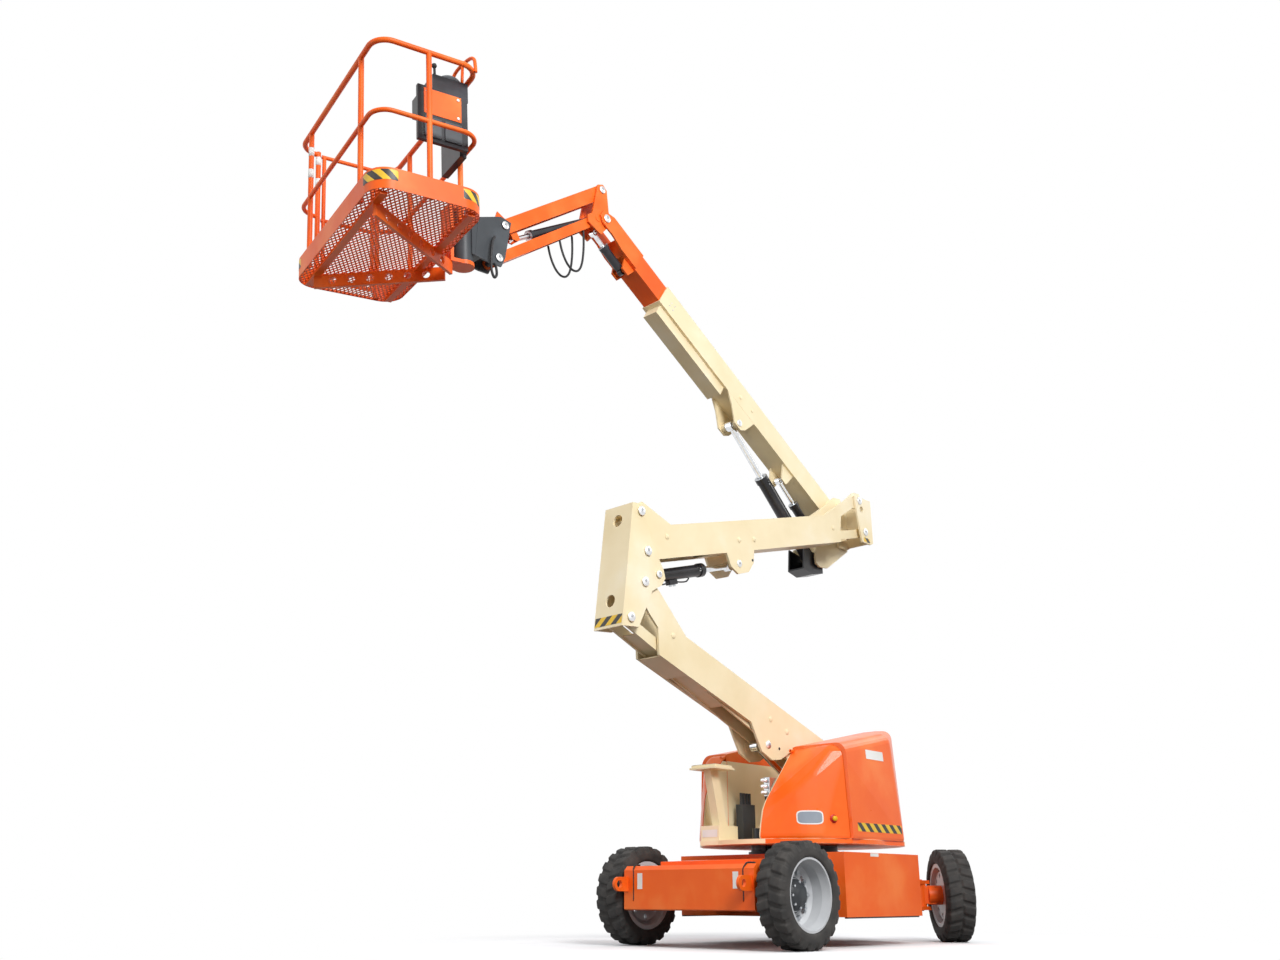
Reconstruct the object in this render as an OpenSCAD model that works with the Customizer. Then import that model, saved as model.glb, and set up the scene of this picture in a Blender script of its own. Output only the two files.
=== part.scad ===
// Articulating boom lift on four wheels: chassis, swinging turntable, two parallelogram
// tower booms, a telescoping main boom beside them, a jib and a railed work platform.
// Millimetres, +Z up, +X the way the boom points. The origin is on the ground under the swing axis.
// Side-view points are [x, z] pairs, worked out from the pins with at().

/* [Wheels] */
// Distance between the two axles
wheelbase = 2000; // [1900:10:2200]
// Distance between the wheel centres across the machine
track = 1510; // [1460:10:1600]
// Tyre outside radius
tyre_r = 354; // [330:1:370]
// Tyre width across the side walls
tyre_w = 235; // [200:1:240]
// Rim radius where the tyre seats
rim_r = 243; // [220:1:255]
// Half distance between the kingpins
kingpin_y = 505; // [480:1:520]
// Steering angle that the wheels stand at
steer_angle = 45; // [0:1:45]

/* [Chassis] */
// Half width of the chassis box between the wheels
chassis_hw = 780; // [740:1:800]
// Front end of the chassis box
chassis_front = 470; // [440:1:560]
// Rear end of the chassis box, measured behind the swing axis
chassis_rear = 465; // [440:1:470]
// Underside of the chassis above the ground
ground_gap = 205; // [180:1:240]
// Top of the chassis box
chassis_top = 648; // [600:1:660]
// Half width of the front cross beam
beam_hw = 610; // [560:1:625]
// Front face of the front cross beam
beam_front = 1300; // [1250:1:1340]
// Hole radius in the tie-down lugs
lug_hole_r = 26; // [15:1:30]
// Thickness of the tie-down lugs
lug_t = 24; // [16:1:40]

/* [Turntable] */
// Height of the turntable plate's underside
deck_z = 712; // [712:1:730]
// Thickness of the turntable plate
deck_t = 34; // [20:1:40]
// Tail radius of the turntable
tail_r = 880; // [850:1:890]
// Radius of the round hoods about the swing axis
hood_r = 750; // [740:1:760]
// Radius of the slewing ring
slew_r = 340; // [280:1:380]
// Inner face of the covers, which leave a slot for the booms
slot_near = 222; // [200:1:240]
// Inner face of the far covers
slot_far = 452; // [440:1:470]
// Outer face of the covers
cover_y = 740; // [720:1:760]
// Wall of the hood shells
hood_wall = 12; // [8:1:20]

/* [Tower booms] */
// Lower boom pivot on the turntable, x
tower_x = -600; // [-620:1:-580]
// Lower boom pivot on the turntable, z
tower_z = 1450; // [1430:1:1470]
// Lower boom pivot to upright pivot
lower_len = 2685; // [2500:5:2800]
// Elevation of the line between the lower boom's pivots
lower_angle = 22.9; // [15:0.1:30]
// Angle of the lower tube below that line
lower_drop = 3.4; // [0:0.1:5]
// Depth of the lower tube
lower_d = 267; // [240:1:290]
// Depth of the mid tube
mid_d = 254; // [220:1:280]
// Half width of both tower booms
tower_hw = 118; // [110:1:120]
// Plate thickness of the boom walls
boom_t = 10; // [8:1:14]
// Mid boom pivot to pivot
mid_len = 3093; // [2900:5:3200]
// Elevation of the mid boom toward the tail
mid_angle = 15.3; // [5:0.1:25]
// Radius of the main pivot pins
pin_r = 30; // [24:1:34]

/* [Main boom] */
// Plane of the main boom, jib and platform, beside the tower booms
main_y = -270; // [-300:1:-268]
// Elevation of the main boom
main_angle = 31; // [20:0.5:40]
// Half width of the main tube
main_hw = 100; // [90:1:105]
// Depth of the main tube
main_d = 210; // [190:1:230]
// Length of the main tube ahead of its pivot
main_len = 2800; // [2600:5:2900]
// Nose pin ahead of the main tube's mouth, with the fly drawn in
nose_out = 811; // [780:1:880]
// Gap between the fly and the main tube's inside
fly_gap = 4; // [3:0.5:8]

/* [Jib] */
// Length of the jib between its pins
jib_len = 1298; // [1200:1:1400]
// Angle of the jib below the horizon
jib_angle = 38.6; // [20:0.1:50]
// Half width of the jib arm and link
jib_hw = 60; // [50:1:62]

/* [Platform] */
// Platform length across the machine
deck_l = 1580; // [1400:10:1830]
// Platform width
deck_w = 790; // [700:10:910]
// Height of the top rail above the floor
rail_h = 1100; // [1000:10:1150]
// Rail tube radius
rail_r = 19; // [15:0.5:22]
// Turn of the platform about its rotator
platform_turn = -13; // [-30:1:30]
// Forward lean of the platform
platform_tilt = 5; // [0:0.5:8]
// Corner radius of the platform
corner_r = 150; // [120:5:180]
// Height of the toe board
toe_h = 150; // [100:5:200]

/* [Hidden] */
$fn = 48;
// Running gap between faces that slide or turn
run = 0.3;
// Side clearance between a boom and the plates it turns in
side_gap = 6;
plate_t = 18;
axle_x = wheelbase / 2;
wheel_y = track / 2;

function rot2(p, a) = [p.x * cos(a) - p.y * sin(a), p.x * sin(a) + p.y * cos(a)];
function at(p, a, s, t) = p + rot2([s, t], a);
function angle_of(p) = atan2(p.y, p.x);

// Tower pins
t1 = [tower_x, tower_z];
lower_link_off = [145, -286];
t2 = t1 + lower_link_off;
u1 = at(t1, lower_angle, lower_len, 0);
u2 = u1 + lower_link_off;
tube_angle = lower_angle - lower_drop;
// Perpendicular places of the lower tube's top, from its base pin
lower_top = 8;
// Upright pins from the lower boom's upright pin
pa = u1 + [40, 529];
mid_link_off = [-69, -292];
pb = pa + mid_link_off;
pc = u1 + [-147, 82];
rear_angle = 180 - mid_angle;
qa = at(pa, rear_angle, mid_len, 0);
qb = qa + mid_link_off;
mid_top = 112;
lower_run = lower_len * cos(lower_drop);
lower_rise = lower_len * sin(lower_drop);
// Cylinder pins
lower_cyl_base = [-620, 850];
lower_cyl_pin = at(t1, tube_angle, 984, -338);
mid_cyl_pin = at(pa, rear_angle, 1095, 463);
// Barrel lengths from the foot pin, and where the rods' inner ends lie in them
lower_barrel_len = 820;
lower_rod_start = 350;
mid_barrel_len = 680;
mid_rod_start = 190;
lift_barrel_len = 980;
lift_rod_start = 450;
master_barrel_len = 565;
master_rod_start = 266;
slave_barrel_len = 262;
slave_rod_start = 152;
jib_barrel_len = 720;
jib_rod_start = 162;
// Main boom pins
m0 = qa + [-30, -78];
lift_base = m0 + [280, -505];
lift_pin = at(m0, main_angle, 1487, -262);
master_base = m0 + [90, -340];
master_pin = at(m0, main_angle, 724, -205);
nose_len = main_len + nose_out;
nose = at(m0, main_angle, nose_len, 0);
slave_base = at(m0, main_angle, nose_len - 411, -150);
slave_pin = nose + [57, -120];
// Jib pins
j1 = nose + [40, 270];
j2 = nose + [83, -25];
k1 = at(j1, -jib_angle, jib_len, 0);
k2 = at(j2, -jib_angle, jib_len, 0);
jib_cyl_base = j2 + [72, -35];
jib_pin_at = jib_len - 108;
jib_cyl_pin = at(j1, -jib_angle, jib_pin_at, -110);
// Rotator
rot_x = k1.x + 300;
rot_z = k2.y - 130;
rot_h = 400;
rot_r = 72;
// Platform floor height above the rotator's foot, and the platform's near edge from the axis
floor_z = -20;
deck_x0 = 200;
// Hose routes, points chosen by hand
hose_r = 9;
jib_hose_a = [[2470, -216, 5228], [2448, -216, 5160], [2418, -216, 5100], [2378, -216, 5050],
              [2328, -216, 5022], [2278, -216, 5030], [2242, -216, 5070], [2222, -216, 5130],
              [2212, -216, 5200], [2208, -216, 5280], [2210, -216, 5360], [2216, -216, 5429]];
jib_hose_b = [for (p = jib_hose_a) p + [24, -108, -19]];

cream = "#e8d6b0";
orange = "#e2581f";
black = "#26262a";
steel = "#b9bcc0";
grey = "#4a4e52";

// Side-view helpers
module side(w, y = 0) translate([0, y, 0]) rotate([90, 0, 0]) linear_extrude(w, center = true) children();
module pair(y, w) {
    side(w, y) children();
    side(w, -y) children();
}
module pin_y(p, r, w, y = 0) translate([p.x, y, p.y]) rotate([90, 0, 0])
    cylinder(r = r, h = w, center = true);
module disc(p, r) translate(p) circle(r);
module bar2(p, q, r) {
    disc(p, r);
    disc(q, r);
    strip2(p, q, -r, r);
}
module strip2(p, q, low, high) translate(p) rotate(angle_of(q - p)) translate([0, low])
    square([norm(q - p), high - low]);
module on_line(p, q, y = 0) translate([p.x, y, p.y]) rotate([0, -angle_of(q - p), 0]) children();
module tube_x(r, l) rotate([0, 90, 0]) cylinder(r = r, h = l);

// Hydraulic cylinder between two pins: the barrel's foot eye is at p, the rod's eye at q
module barrel(p, q, r, len, y = 0) color(black) {
    difference() {
        union() {
            on_line(p, q, y) translate([eye_r(r) - 4, 0, 0]) tube_x(r, len - eye_r(r) + 4);
            on_line(p, q, y) translate([len - r, 0, 0]) tube_x(r + 7, r);
            pin_y(p, eye_r(r), eye_w(r), y);
        }
        on_line(p, q, y) translate([eye_r(r) + 24, 0, 0]) tube_x(rod_r(r) + run, len);
        pin_y(p, pin_of(r), eye_w(r) + 2, y);
    }
}
module rod(p, q, r, start, y = 0) color(steel) difference() {
    union() {
        on_line(p, q, y) translate([start, 0, 0]) tube_x(rod_r(r), norm(q - p) - start - pin_of(r));
        pin_y(q, eye_r(r) - 6, eye_w(r), y);
    }
    pin_y(q, pin_of(r), eye_w(r) + 2, y);
}
function eye_r(r) = r * 0.95;
function eye_w(r) = r * 1.2;
function rod_r(r) = r * 0.52;
function pin_of(r) = r * 0.46;
// Stub pin bosses on two plates beside a rod's eye
module stub_pair(p, r, y, w, reach) {
    pin_y(p, r, w + reach, y);
    pin_y(p, r, w + reach, -y);
}

// Chassis
module chassis_frame() color(orange) difference() {
    union() {
        translate([0, 0, ground_gap]) linear_extrude(chassis_top - ground_gap) chassis_plan();
        side(2 * spine_hw) polygon([[chassis_front - 5, ground_gap + 40], [beam_rear + 5, ground_gap + 60],
            [beam_rear + 5, chassis_top - 60], [chassis_front - 5, chassis_top - 30]]);
        side(2 * tail_spine_hw) polygon([[-chassis_rear + 5, ground_gap + 40], [-axle_x + 85, axle_low],
            [-axle_x + 85, axle_low + axle_h], [-chassis_rear + 5, chassis_top - 60]]);
        side(2 * beam_hw) polygon([[beam_rear, beam_low], [beam_front - 8, beam_low], [beam_front,
            beam_low + 8],
            [beam_front, beam_high - 30], [beam_front - 30, beam_high], [beam_rear, beam_high]]);
        translate([-axle_x, 0, axle_low]) linear_extrude(axle_h)
            polygon([[90, -axle_hw], [90, axle_hw], [-40, axle_hw],
            [-90, axle_hw - 80], [-90, 80 - axle_hw], [-40, -axle_hw]]);
        for (s = [-1, 1]) side(lug_t, s * (beam_hw - 30)) tie_lug();
    }
    for (s = [-1, 1]) {
        side(lug_t + 2, s * (beam_hw - 30)) disc(lug_at, lug_hole_r);
        translate([beam_front - 10, s * (beam_hw - 95) - 6, beam_low + 60])
            cube([30, 12, beam_high - beam_low - 110]);
        translate([axle_x, s * (spine_hw - motor_in), tyre_r]) rotate([-90 * s, 0, 0])
            cylinder(r = motor_r + run, h = 400);
    }
}
// Plan of the box: its rear corners run past the turned wheels
module chassis_plan() polygon([[chassis_front, -chassis_hw], [chassis_front, chassis_hw],
    [-chassis_rear - 85, chassis_hw], [-chassis_rear, 600], [-chassis_rear, -600],
        [-chassis_rear - 85, -chassis_hw]]);
module tie_lug() {
    disc(lug_at, lug_hole_r + 24);
    translate([beam_front - 20, lug_at.y - 50]) square([lug_at.x - beam_front + 20, 100]);
}
spine_hw = 430;
tail_spine_hw = 300;
beam_rear = 1090;
beam_low = 250;
beam_high = 556;
axle_hw = 420;
axle_low = 268;
axle_h = 172;
lug_at = [beam_front + 92, 430];
motor_r = 112;
motor_in = 20;
hub_face = wheel_y - tyre_w / 2 + 40;

module slew_ring() color(grey) rotate_extrude() polygon([[slew_r - 90, chassis_top], [slew_r + 20,
    chassis_top],
    [slew_r + 20, chassis_top + 26], [slew_r, chassis_top + 26], [slew_r, deck_z - run], [slew_r - 90,
        deck_z - run]]);

module drive_motors() color(grey) for (s = [-1, 1]) translate([axle_x, s * (spine_hw - motor_in), tyre_r])
    rotate([-90 * s, 0, 0]) {
        cylinder(r = motor_r, h = hub_face - spine_hw + motor_in - 60);
        cylinder(r = motor_r - 30, h = hub_face - spine_hw + motor_in - run);
    }

// Steering axle ends carry a fork for each kingpin
module steer_axle() color(orange) for (s = [-1, 1]) difference() {
    union() {
        translate([-axle_x - 70, min(s * axle_hw, s * (kingpin_y + 55)), axle_low - 28])
            cube([140, kingpin_y + 55 - axle_hw, 28]);
        translate([-axle_x - 70, min(s * axle_hw, s * (kingpin_y + 55)), axle_low + axle_h])
            cube([140, kingpin_y + 55 - axle_hw, 28]);
        translate([-axle_x - 30, min(s * axle_hw, s * (axle_hw + 14)), axle_low - 28])
            cube([60, 14, axle_h + 56]);
    }
    translate([-axle_x, s * kingpin_y, 0]) cylinder(r = king_r + run, h = 900);
}
king_r = 24;
knuckle_h = axle_h - 2 * run;
module steered(s) translate([-axle_x, s * kingpin_y, 0]) rotate([0, 0, steer_angle]) children();
module steer_knuckle(s) color(orange) steered(s) {
    translate([0, 0, axle_low - 34]) cylinder(r = king_r, h = axle_h + 68);
    translate([0, 0, axle_low + run]) cylinder(r = 52, h = knuckle_h);
    translate([-45, min(0, s * 118), axle_low + 20]) cube([90, 118, axle_h - 40]);
    translate([0, s * 60, tyre_r]) rotate([-90 * s, 0, 0])
        cylinder(r = 74, h = hub_face - kingpin_y - 60 - run);
    translate([-arm_len - 20, -22, axle_low + 24]) cube([arm_len + 20, 44, 26]);
    translate([-arm_len, 0, axle_low - 6]) cylinder(r = 14, h = 56);
}
arm_len = 190;
module knuckle_near() steer_knuckle(1);
module knuckle_far() steer_knuckle(-1);
// Tie rod between the two steering arms, under them
module tie_rod() color(grey) {
    drop = rot2([-arm_len, 0], steer_angle);
    difference() {
        union() {
            translate([-axle_x + drop.x, drop.y, axle_low - 6 + 8]) rotate([90, 0, 0])
                cylinder(r = 13, h = 2 * kingpin_y - 40, center = true);
            for (s = [-1, 1]) translate([-axle_x + drop.x, drop.y + s * kingpin_y, axle_low - 14])
                cylinder(r = 26, h = 36);
        }
        for (s = [-1, 1]) translate([-axle_x + drop.x, drop.y + s * kingpin_y, axle_low - 20])
            cylinder(r = 14 + run, h = 60);
    }
}

// Wheels: drawn with the axle along +Y, the outer side toward +Y
module wheel_place(i) {
    if (i < 2) translate([axle_x, (i == 0 ? 1 : -1) * wheel_y, tyre_r])
        rotate([0, 0, i == 0 ? 0 : 180]) children();
    else steered(i == 2 ? 1 : -1) translate([0, (i == 2 ? 1 : -1) * (wheel_y - kingpin_y), tyre_r])
        rotate([0, 0, i == 2 ? 0 : 180]) children();
}
module rim(i) color(steel) wheel_place(i) rotate([-90, 0, 0]) difference() {
    rotate_extrude($fn = 64) polygon([[0, dish_in], [disc_r, dish_in], [disc_r + 16, -rim_hw + 60],
        [rim_r - 30, -rim_hw],
        [rim_r, -rim_hw], [rim_r, rim_hw], [rim_r - 14, rim_hw], [rim_r - 22, rim_hw - 26], [rim_r - 34,
            rim_hw - 60],
        [rim_r - 40, dish_out + 20], [disc_r, dish_out], [hub_r + 20, dish_out], [hub_r, dish_out + 36],
        [hub_r - 30, dish_out + 58], [0, dish_out + 58]]);
    for (k = [0 : 7]) rotate([0, 0, k * 45]) translate([(disc_r + hub_r) / 2 + 14, 0, dish_in - 1])
        cylinder(r = 17, h = 60);
}
rim_hw = tyre_w / 2 - 14;
dish_in = 40 - tyre_w / 2;
dish_out = dish_in + 26;
disc_r = 178;
hub_r = 96;
// Tyre section, rim edge to rim edge over the tread
module tyre(i) color(black) wheel_place(i) rotate([-90, 0, 0])
    rotate_extrude($fn = 72) polygon([[rim_r + run, -tyre_w / 2 + 10], [rim_r + 22, -tyre_w / 2],
        [tyre_r - 52, -tyre_w / 2],
        [tyre_r - 14, -tyre_w / 2 + 16], [tyre_r, -tyre_w / 2 + 30], [tyre_r, tyre_w / 2 - 30],
        [tyre_r - 14, tyre_w / 2 - 16], [tyre_r - 52, tyre_w / 2], [rim_r + 22, tyre_w / 2],
            [rim_r + run, tyre_w / 2 - 10]]);
module rim_drive_near() rim(0);
module rim_drive_far() rim(1);
module rim_steer_near() rim(2);
module rim_steer_far() rim(3);
module tyre_drive_near() tyre(0);
module tyre_drive_far() tyre(1);
module tyre_steer_near() tyre(2);
module tyre_steer_far() tyre(3);

// Tower links: middle of their plates, thickness, and where their stub pins end inside
link_y = 76;
link_t = 18;
link_in = link_y - link_t / 2 - 1;

// Turntable
bracket_y = tower_hw + side_gap + plate_t / 2;
module turntable_frame() color(cream) {
    difference() {
        union() {
            translate([0, 0, deck_z]) linear_extrude(deck_t) deck_plan();
            pair(bracket_y, plate_t) polygon([[-760, deck_z + 1], [320, deck_z + 1], [300,
                deck_z + 130], [-330, t2.y + 80],
                [t1.x + 90, t1.y + 60], [t1.x + 40, t1.y + 95], [t1.x - 40, t1.y + 95], [t1.x - 95,
                    t1.y + 40], [-760, 1000]]);
            pin_y(t1, pin_r, 2 * bracket_y + plate_t + 16);
            for (k = [-1, 1]) pin_y(t2, pin_r, bracket_y + plate_t / 2 + 8 - link_in,
                k * (bracket_y + plate_t / 2 + 8 + link_in) / 2);
            pin_y(lower_cyl_base, pin_of(lower_cyl_r) - run, 2 * bracket_y + plate_t + 16);
        }
        translate([0, 0, deck_z - 1]) cylinder(r = slew_r - 110, h = deck_t + 2);
    }
    translate([-760, -bracket_y, deck_z + deck_t]) cube([16, 2 * bracket_y, 240]);
}
// Plan of the turntable plate: round under the hoods, wider under the tails, with a tongue for the rest
module deck_plan() {
    circle(hood_r - 8, $fn = 96);
    intersection() {
        circle(tail_r - 20, $fn = 96);
        translate([-tail_r, -cover_y + 20]) square([tail_r + seam_x, 2 * cover_y - 40]);
    }
    translate([0, main_y - rest_hw]) square([rest_x + 50, 2 * rest_hw]);
}
lower_cyl_r = 55;

// Solid tails of the covers: the counterweights
module tail_form(s, y_in) intersection() {
    hull() {
        for (p = tail_points) translate([p[0], s * p[1], p[2]]) sphere(p[3], $fn = 24);
        for (p = tail_points) translate([p[0], s * (y_in + 40), p[2]]) sphere(p[3], $fn = 24);
    }
    translate([-tail_r, s > 0 ? y_in : -y_in - cover_y, deck_z + deck_t])
        cube([tail_r + seam_x - 3, cover_y, 1200]);
    translate([0, 0, deck_z]) cylinder(r = tail_r, h = 1200, $fn = 96);
}
seam_x = 270;
// Heights of the upper edge of the covers at the seam and at the nose
hood_z = 1345;
hood_nose_z = 905;
tail_points = [[seam_x + 60, cover_y - 70, deck_z + 60, 70], [seam_x + 60, cover_y - 110, hood_z, 90],
    [-420, cover_y - 75, deck_z + 60, 70], [-400, cover_y - 150, 1490, 90], [-600, 540, deck_z + 60, 70],
    [-610, 500, 1560, 70], [-730, 380, deck_z + 60, 70], [-710, 380, 1580, 70]];
module tail_cover_near() color(orange) tail_form(1, slot_near);
module tail_cover_far() color(orange) tail_form(-1, slot_far);

// Front hoods: round moulded shells, open below, closed by a panel toward the boom slot
hood_turns = [14 : 13 : 66];
hood_points = concat(
    [for (a = hood_turns) [(hood_r - 70) * cos(a), (hood_r - 70) * sin(a), deck_z + 60, 70]],
    [for (a = hood_turns) [(hood_r - 130) * cos(a), (hood_r - 130) * sin(a),
        hood_nose_z + (hood_z - hood_nose_z) * pow((a - 14) / 52, 1.6), 95]],
    [[seam_x - 60, 150, deck_z + 60, 70], [seam_x - 60, 150, hood_z, 90], [seam_x - 60, cover_y - 120,
        hood_z, 90],
        [seam_x - 60, cover_y - 70, deck_z + 60, 70]]);
module hood_hull(s, g) hull() for (p = hood_points) translate([p[0], s * p[1], p[2]])
    sphere(p[3] - g, $fn = 24);
module hood_space(s, y_in, low) translate([seam_x + 3, s > 0 ? y_in : -y_in - cover_y, deck_z + deck_t + low])
    cube([hood_r, cover_y, 1200]);
module hood_form(s, y_in) {
    intersection() {
        difference() {
            hood_hull(s, 0);
            hood_hull(s, hood_wall);
        }
        hood_space(s, y_in, run);
    }
    difference() {
        translate([seam_x + 8, s * (y_in + hinge_r), hinge_z]) rotate([0, 90, 0])
            cylinder(r = hinge_r, h = hinge_len);
        translate([seam_x, s * (y_in + hinge_r), hinge_z]) rotate([0, 90, 0])
            cylinder(r = hinge_r / 2, h = hinge_len + 20);
    }
}
// Hinge tube on each hood's upper inner edge
hinge_r = 14;
hinge_len = 40;
hinge_z = 1412;
module hood_near() color(orange) hood_form(1, slot_near);
module hood_far() color(orange) hood_form(-1, slot_far);
// Inner panels on the turntable, just inside the hoods' edges
module hood_panel(s, y_in) color(cream) intersection() {
    hood_hull(s, 6);
    translate([seam_x + 8, s * (y_in - panel_gap - panel_t / 2) - panel_t / 2, deck_z + deck_t])
        cube([hood_r, panel_t, hinge_z - 2 * hinge_r - deck_z - deck_t]);
}
panel_t = 8;
panel_gap = 5;
module hood_panel_near() hood_panel(1, slot_near);
module hood_panel_far() hood_panel(-1, slot_far);
// Battery pack beside the boom slot, and the oil tank on the far side
module battery_packs() color(grey) {
    translate([300, slot_near + 70, deck_z + deck_t]) cube([200, 200, 200]);
    translate([285, -slot_far - 160, deck_z + deck_t]) cube([90, 90, 200]);
}
// Post and pad that the main boom lies on when it is stowed
rest_x = 670;
rest_z = 1310;
rest_hw = 90;
module boom_rest() color(cream) {
    translate([rest_x - 190, main_y - rest_hw, deck_z + deck_t]) cube([230, 2 * rest_hw, 110]);
    side(70, main_y) polygon([[rest_x - 130, deck_z + deck_t + 109], [rest_x - 40, deck_z + deck_t + 109],
        [rest_x + 60, rest_z - 33], [rest_x - 30, rest_z - 33]]);
    translate([rest_x - 120, main_y - 130, rest_z - 34]) cube([240, 260, 14]);
    translate([rest_x - 105, main_y - 120, rest_z - 21]) cube([210, 240, 21]);
}
module valve_block() color(steel) {
    translate([60, -slot_far + 50, deck_z + deck_t]) cube([160, 70, 300]);
    for (k = [0 : 3]) translate([85 + 36 * k, -slot_far + 85, deck_z + deck_t + 300])
        cylinder(r = 12, h = 90);
}
module swing_drive() color(black) translate([slew_r + 110, 0, deck_z - 40]) {
    cylinder(r = 60, h = 40);
    translate([0, 0, 40 + deck_t]) cylinder(r = 48, h = 90);
}

// Lower boom, in its own line from the base pin
module lower_outline() polygon([for (p = [[-85, -20], [-75, 45], [-35, 82], [40, 80], [170, lower_top],
    [lower_run - 560, lower_top],
    [lower_run - 190, lower_rise + 26], [lower_run - 60, lower_rise + 70], [lower_run + 60, lower_rise + 60],
    [lower_run + 82, lower_rise - 20], [lower_run + 20, lower_rise - 84], [lower_run - 150, lower_rise - 184],
    [lower_run - 262, lower_rise - 234], [lower_run - 340, lower_top - lower_d],
    [1230, lower_top - lower_d], [1130, -345], [1040, -420], [900, -430], [800, -380], [690,
        lower_top - lower_d],
    [430, lower_top - lower_d], [330, -180], [60, -90], [-60, -70]]) at(t1, tube_angle, p[0], p[1])]);
module lower_boom() color(cream) difference() {
    union() {
        pair(tower_hw - boom_t, 2 * boom_t) lower_outline();
        side(2 * tower_hw - 10) strip2(at(t1, tube_angle, 200, 0), at(t1, tube_angle, lower_run - 560, 0),
            lower_top - boom_t - 1, lower_top - 1);
        side(2 * tower_hw - 10) strip2(at(t1, tube_angle, 2010, 0), at(t1, tube_angle, lower_run - 360, 0),
            lower_top - lower_d + 1, lower_top - lower_d + boom_t);
        pair(tower_hw - 19, 18) strip2(at(t1, tube_angle, 1250, 0), at(t1, tube_angle, 2000, 0),
            lower_top - lower_d + 1, lower_top - lower_d + boom_t);
        stub_pair(lower_cyl_pin, 34, tower_hw - 2 * boom_t - 4, 10, 4);
    }
    pin_y(t1, pin_r + run, 400);
    pin_y(u1, pin_r + run, 400);
}
module lower_link() color(cream) difference() {
    union() {
        pair(link_y, link_t) bar2(t2, u2, 42);
        side(2 * link_y) strip2(t2 + (u2 - t2) * 0.55, t2 + (u2 - t2) * 0.94, -30, -20);
    }
    pin_y(t2, pin_r + run, 400);
    pin_y(u2, pin_r + run, 400);
}
module lower_barrel() barrel(lower_cyl_base, lower_cyl_pin, lower_cyl_r, lower_barrel_len);
module lower_rod() rod(lower_cyl_base, lower_cyl_pin, lower_cyl_r, lower_rod_start);

// Upright between the tower booms: two side plates and a front plate
up_hw = tower_hw + side_gap + plate_t;
module upright_outline() {
    polygon([u1 + [232, -360], u1 + [126, 578], u1 + [6, 590], u1 + [-70, 330], u1 + [-206, 126],
        u1 + [-224, 66], u1 + [-184, 6], u1 + [-84, -54], u1 + [60, -345]]);
}
module upright() color(cream) {
    difference() {
        pair(up_hw - plate_t / 2, plate_t) upright_outline();
        for (p = [u1, u2, pa, pb]) pin_y(p, pin_r - 2, 600);
    }
    difference() {
        side(2 * up_hw) polygon([u1 + [232, -360], u1 + [126, 578], u1 + [112, 578], u1 + [218, -360]]);
        for (h = [-160, 460]) translate([u1.x + 170, 0, u1.y + h]) rotate([0, 90, 0])
            cylinder(r = 46, h = 300, center = true);
    }
    for (p = [u1, u2, pa, pb]) pin_y(p, pin_r, 2 * up_hw + 20);
    pin_y(pc, pin_of(mid_cyl_r) - run, 2 * up_hw + 20);
}
mid_cyl_r = 48;

// Mid boom, in its own line from the upright to the rear knuckle; t counts downward
module mid_outline() polygon([for (p = [[-46, -48], [60, -76], [340, mid_top], [mid_len - 620, mid_top],
    [mid_len - 200, -20], [mid_len - 40, -86], [mid_len + 60, -70], [mid_len + 84, 10], [mid_len + 30, 80],
    [mid_len - 108, 60], [mid_len - 333, 130], [mid_len - 390, 250], [mid_len - 420, mid_top + mid_d],
        [1330, mid_top + mid_d], [1290, 470], [1200, 540], [1060, 545], [985, 480],
    [960, mid_top + mid_d], [130, mid_top + mid_d], [80, 240], [-52, 40]]) at(pa, rear_angle, p[0], p[1])]);
module mid_boom() color(cream) difference() {
    union() {
        pair(tower_hw - boom_t, 2 * boom_t) mid_outline();
        side(2 * tower_hw - 4) strip2(at(pa, rear_angle, 340, 0), at(pa, rear_angle, mid_len - 620, 0),
            mid_top, mid_top + boom_t);
        side(2 * tower_hw - 4) strip2(at(pa, rear_angle, 800, 0), at(pa, rear_angle, mid_len - 440, 0),
            mid_top + mid_d - boom_t, mid_top + mid_d);
        stub_pair(mid_cyl_pin, 32, tower_hw - 2 * boom_t - 4, 10, 4);
    }
    pin_y(pa, pin_r + run, 400);
    pin_y(qa, pin_r + run, 400);
}
module mid_link() color(cream) difference() {
    pair(link_y, link_t) bar2(pb, qb, 40);
    pin_y(pb, pin_r + run, 400);
    pin_y(qb, pin_r + run, 400);
}
module mid_barrel() barrel(pc, mid_cyl_pin, mid_cyl_r, mid_barrel_len);
module mid_rod() rod(pc, mid_cyl_pin, mid_cyl_r, mid_rod_start);

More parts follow.
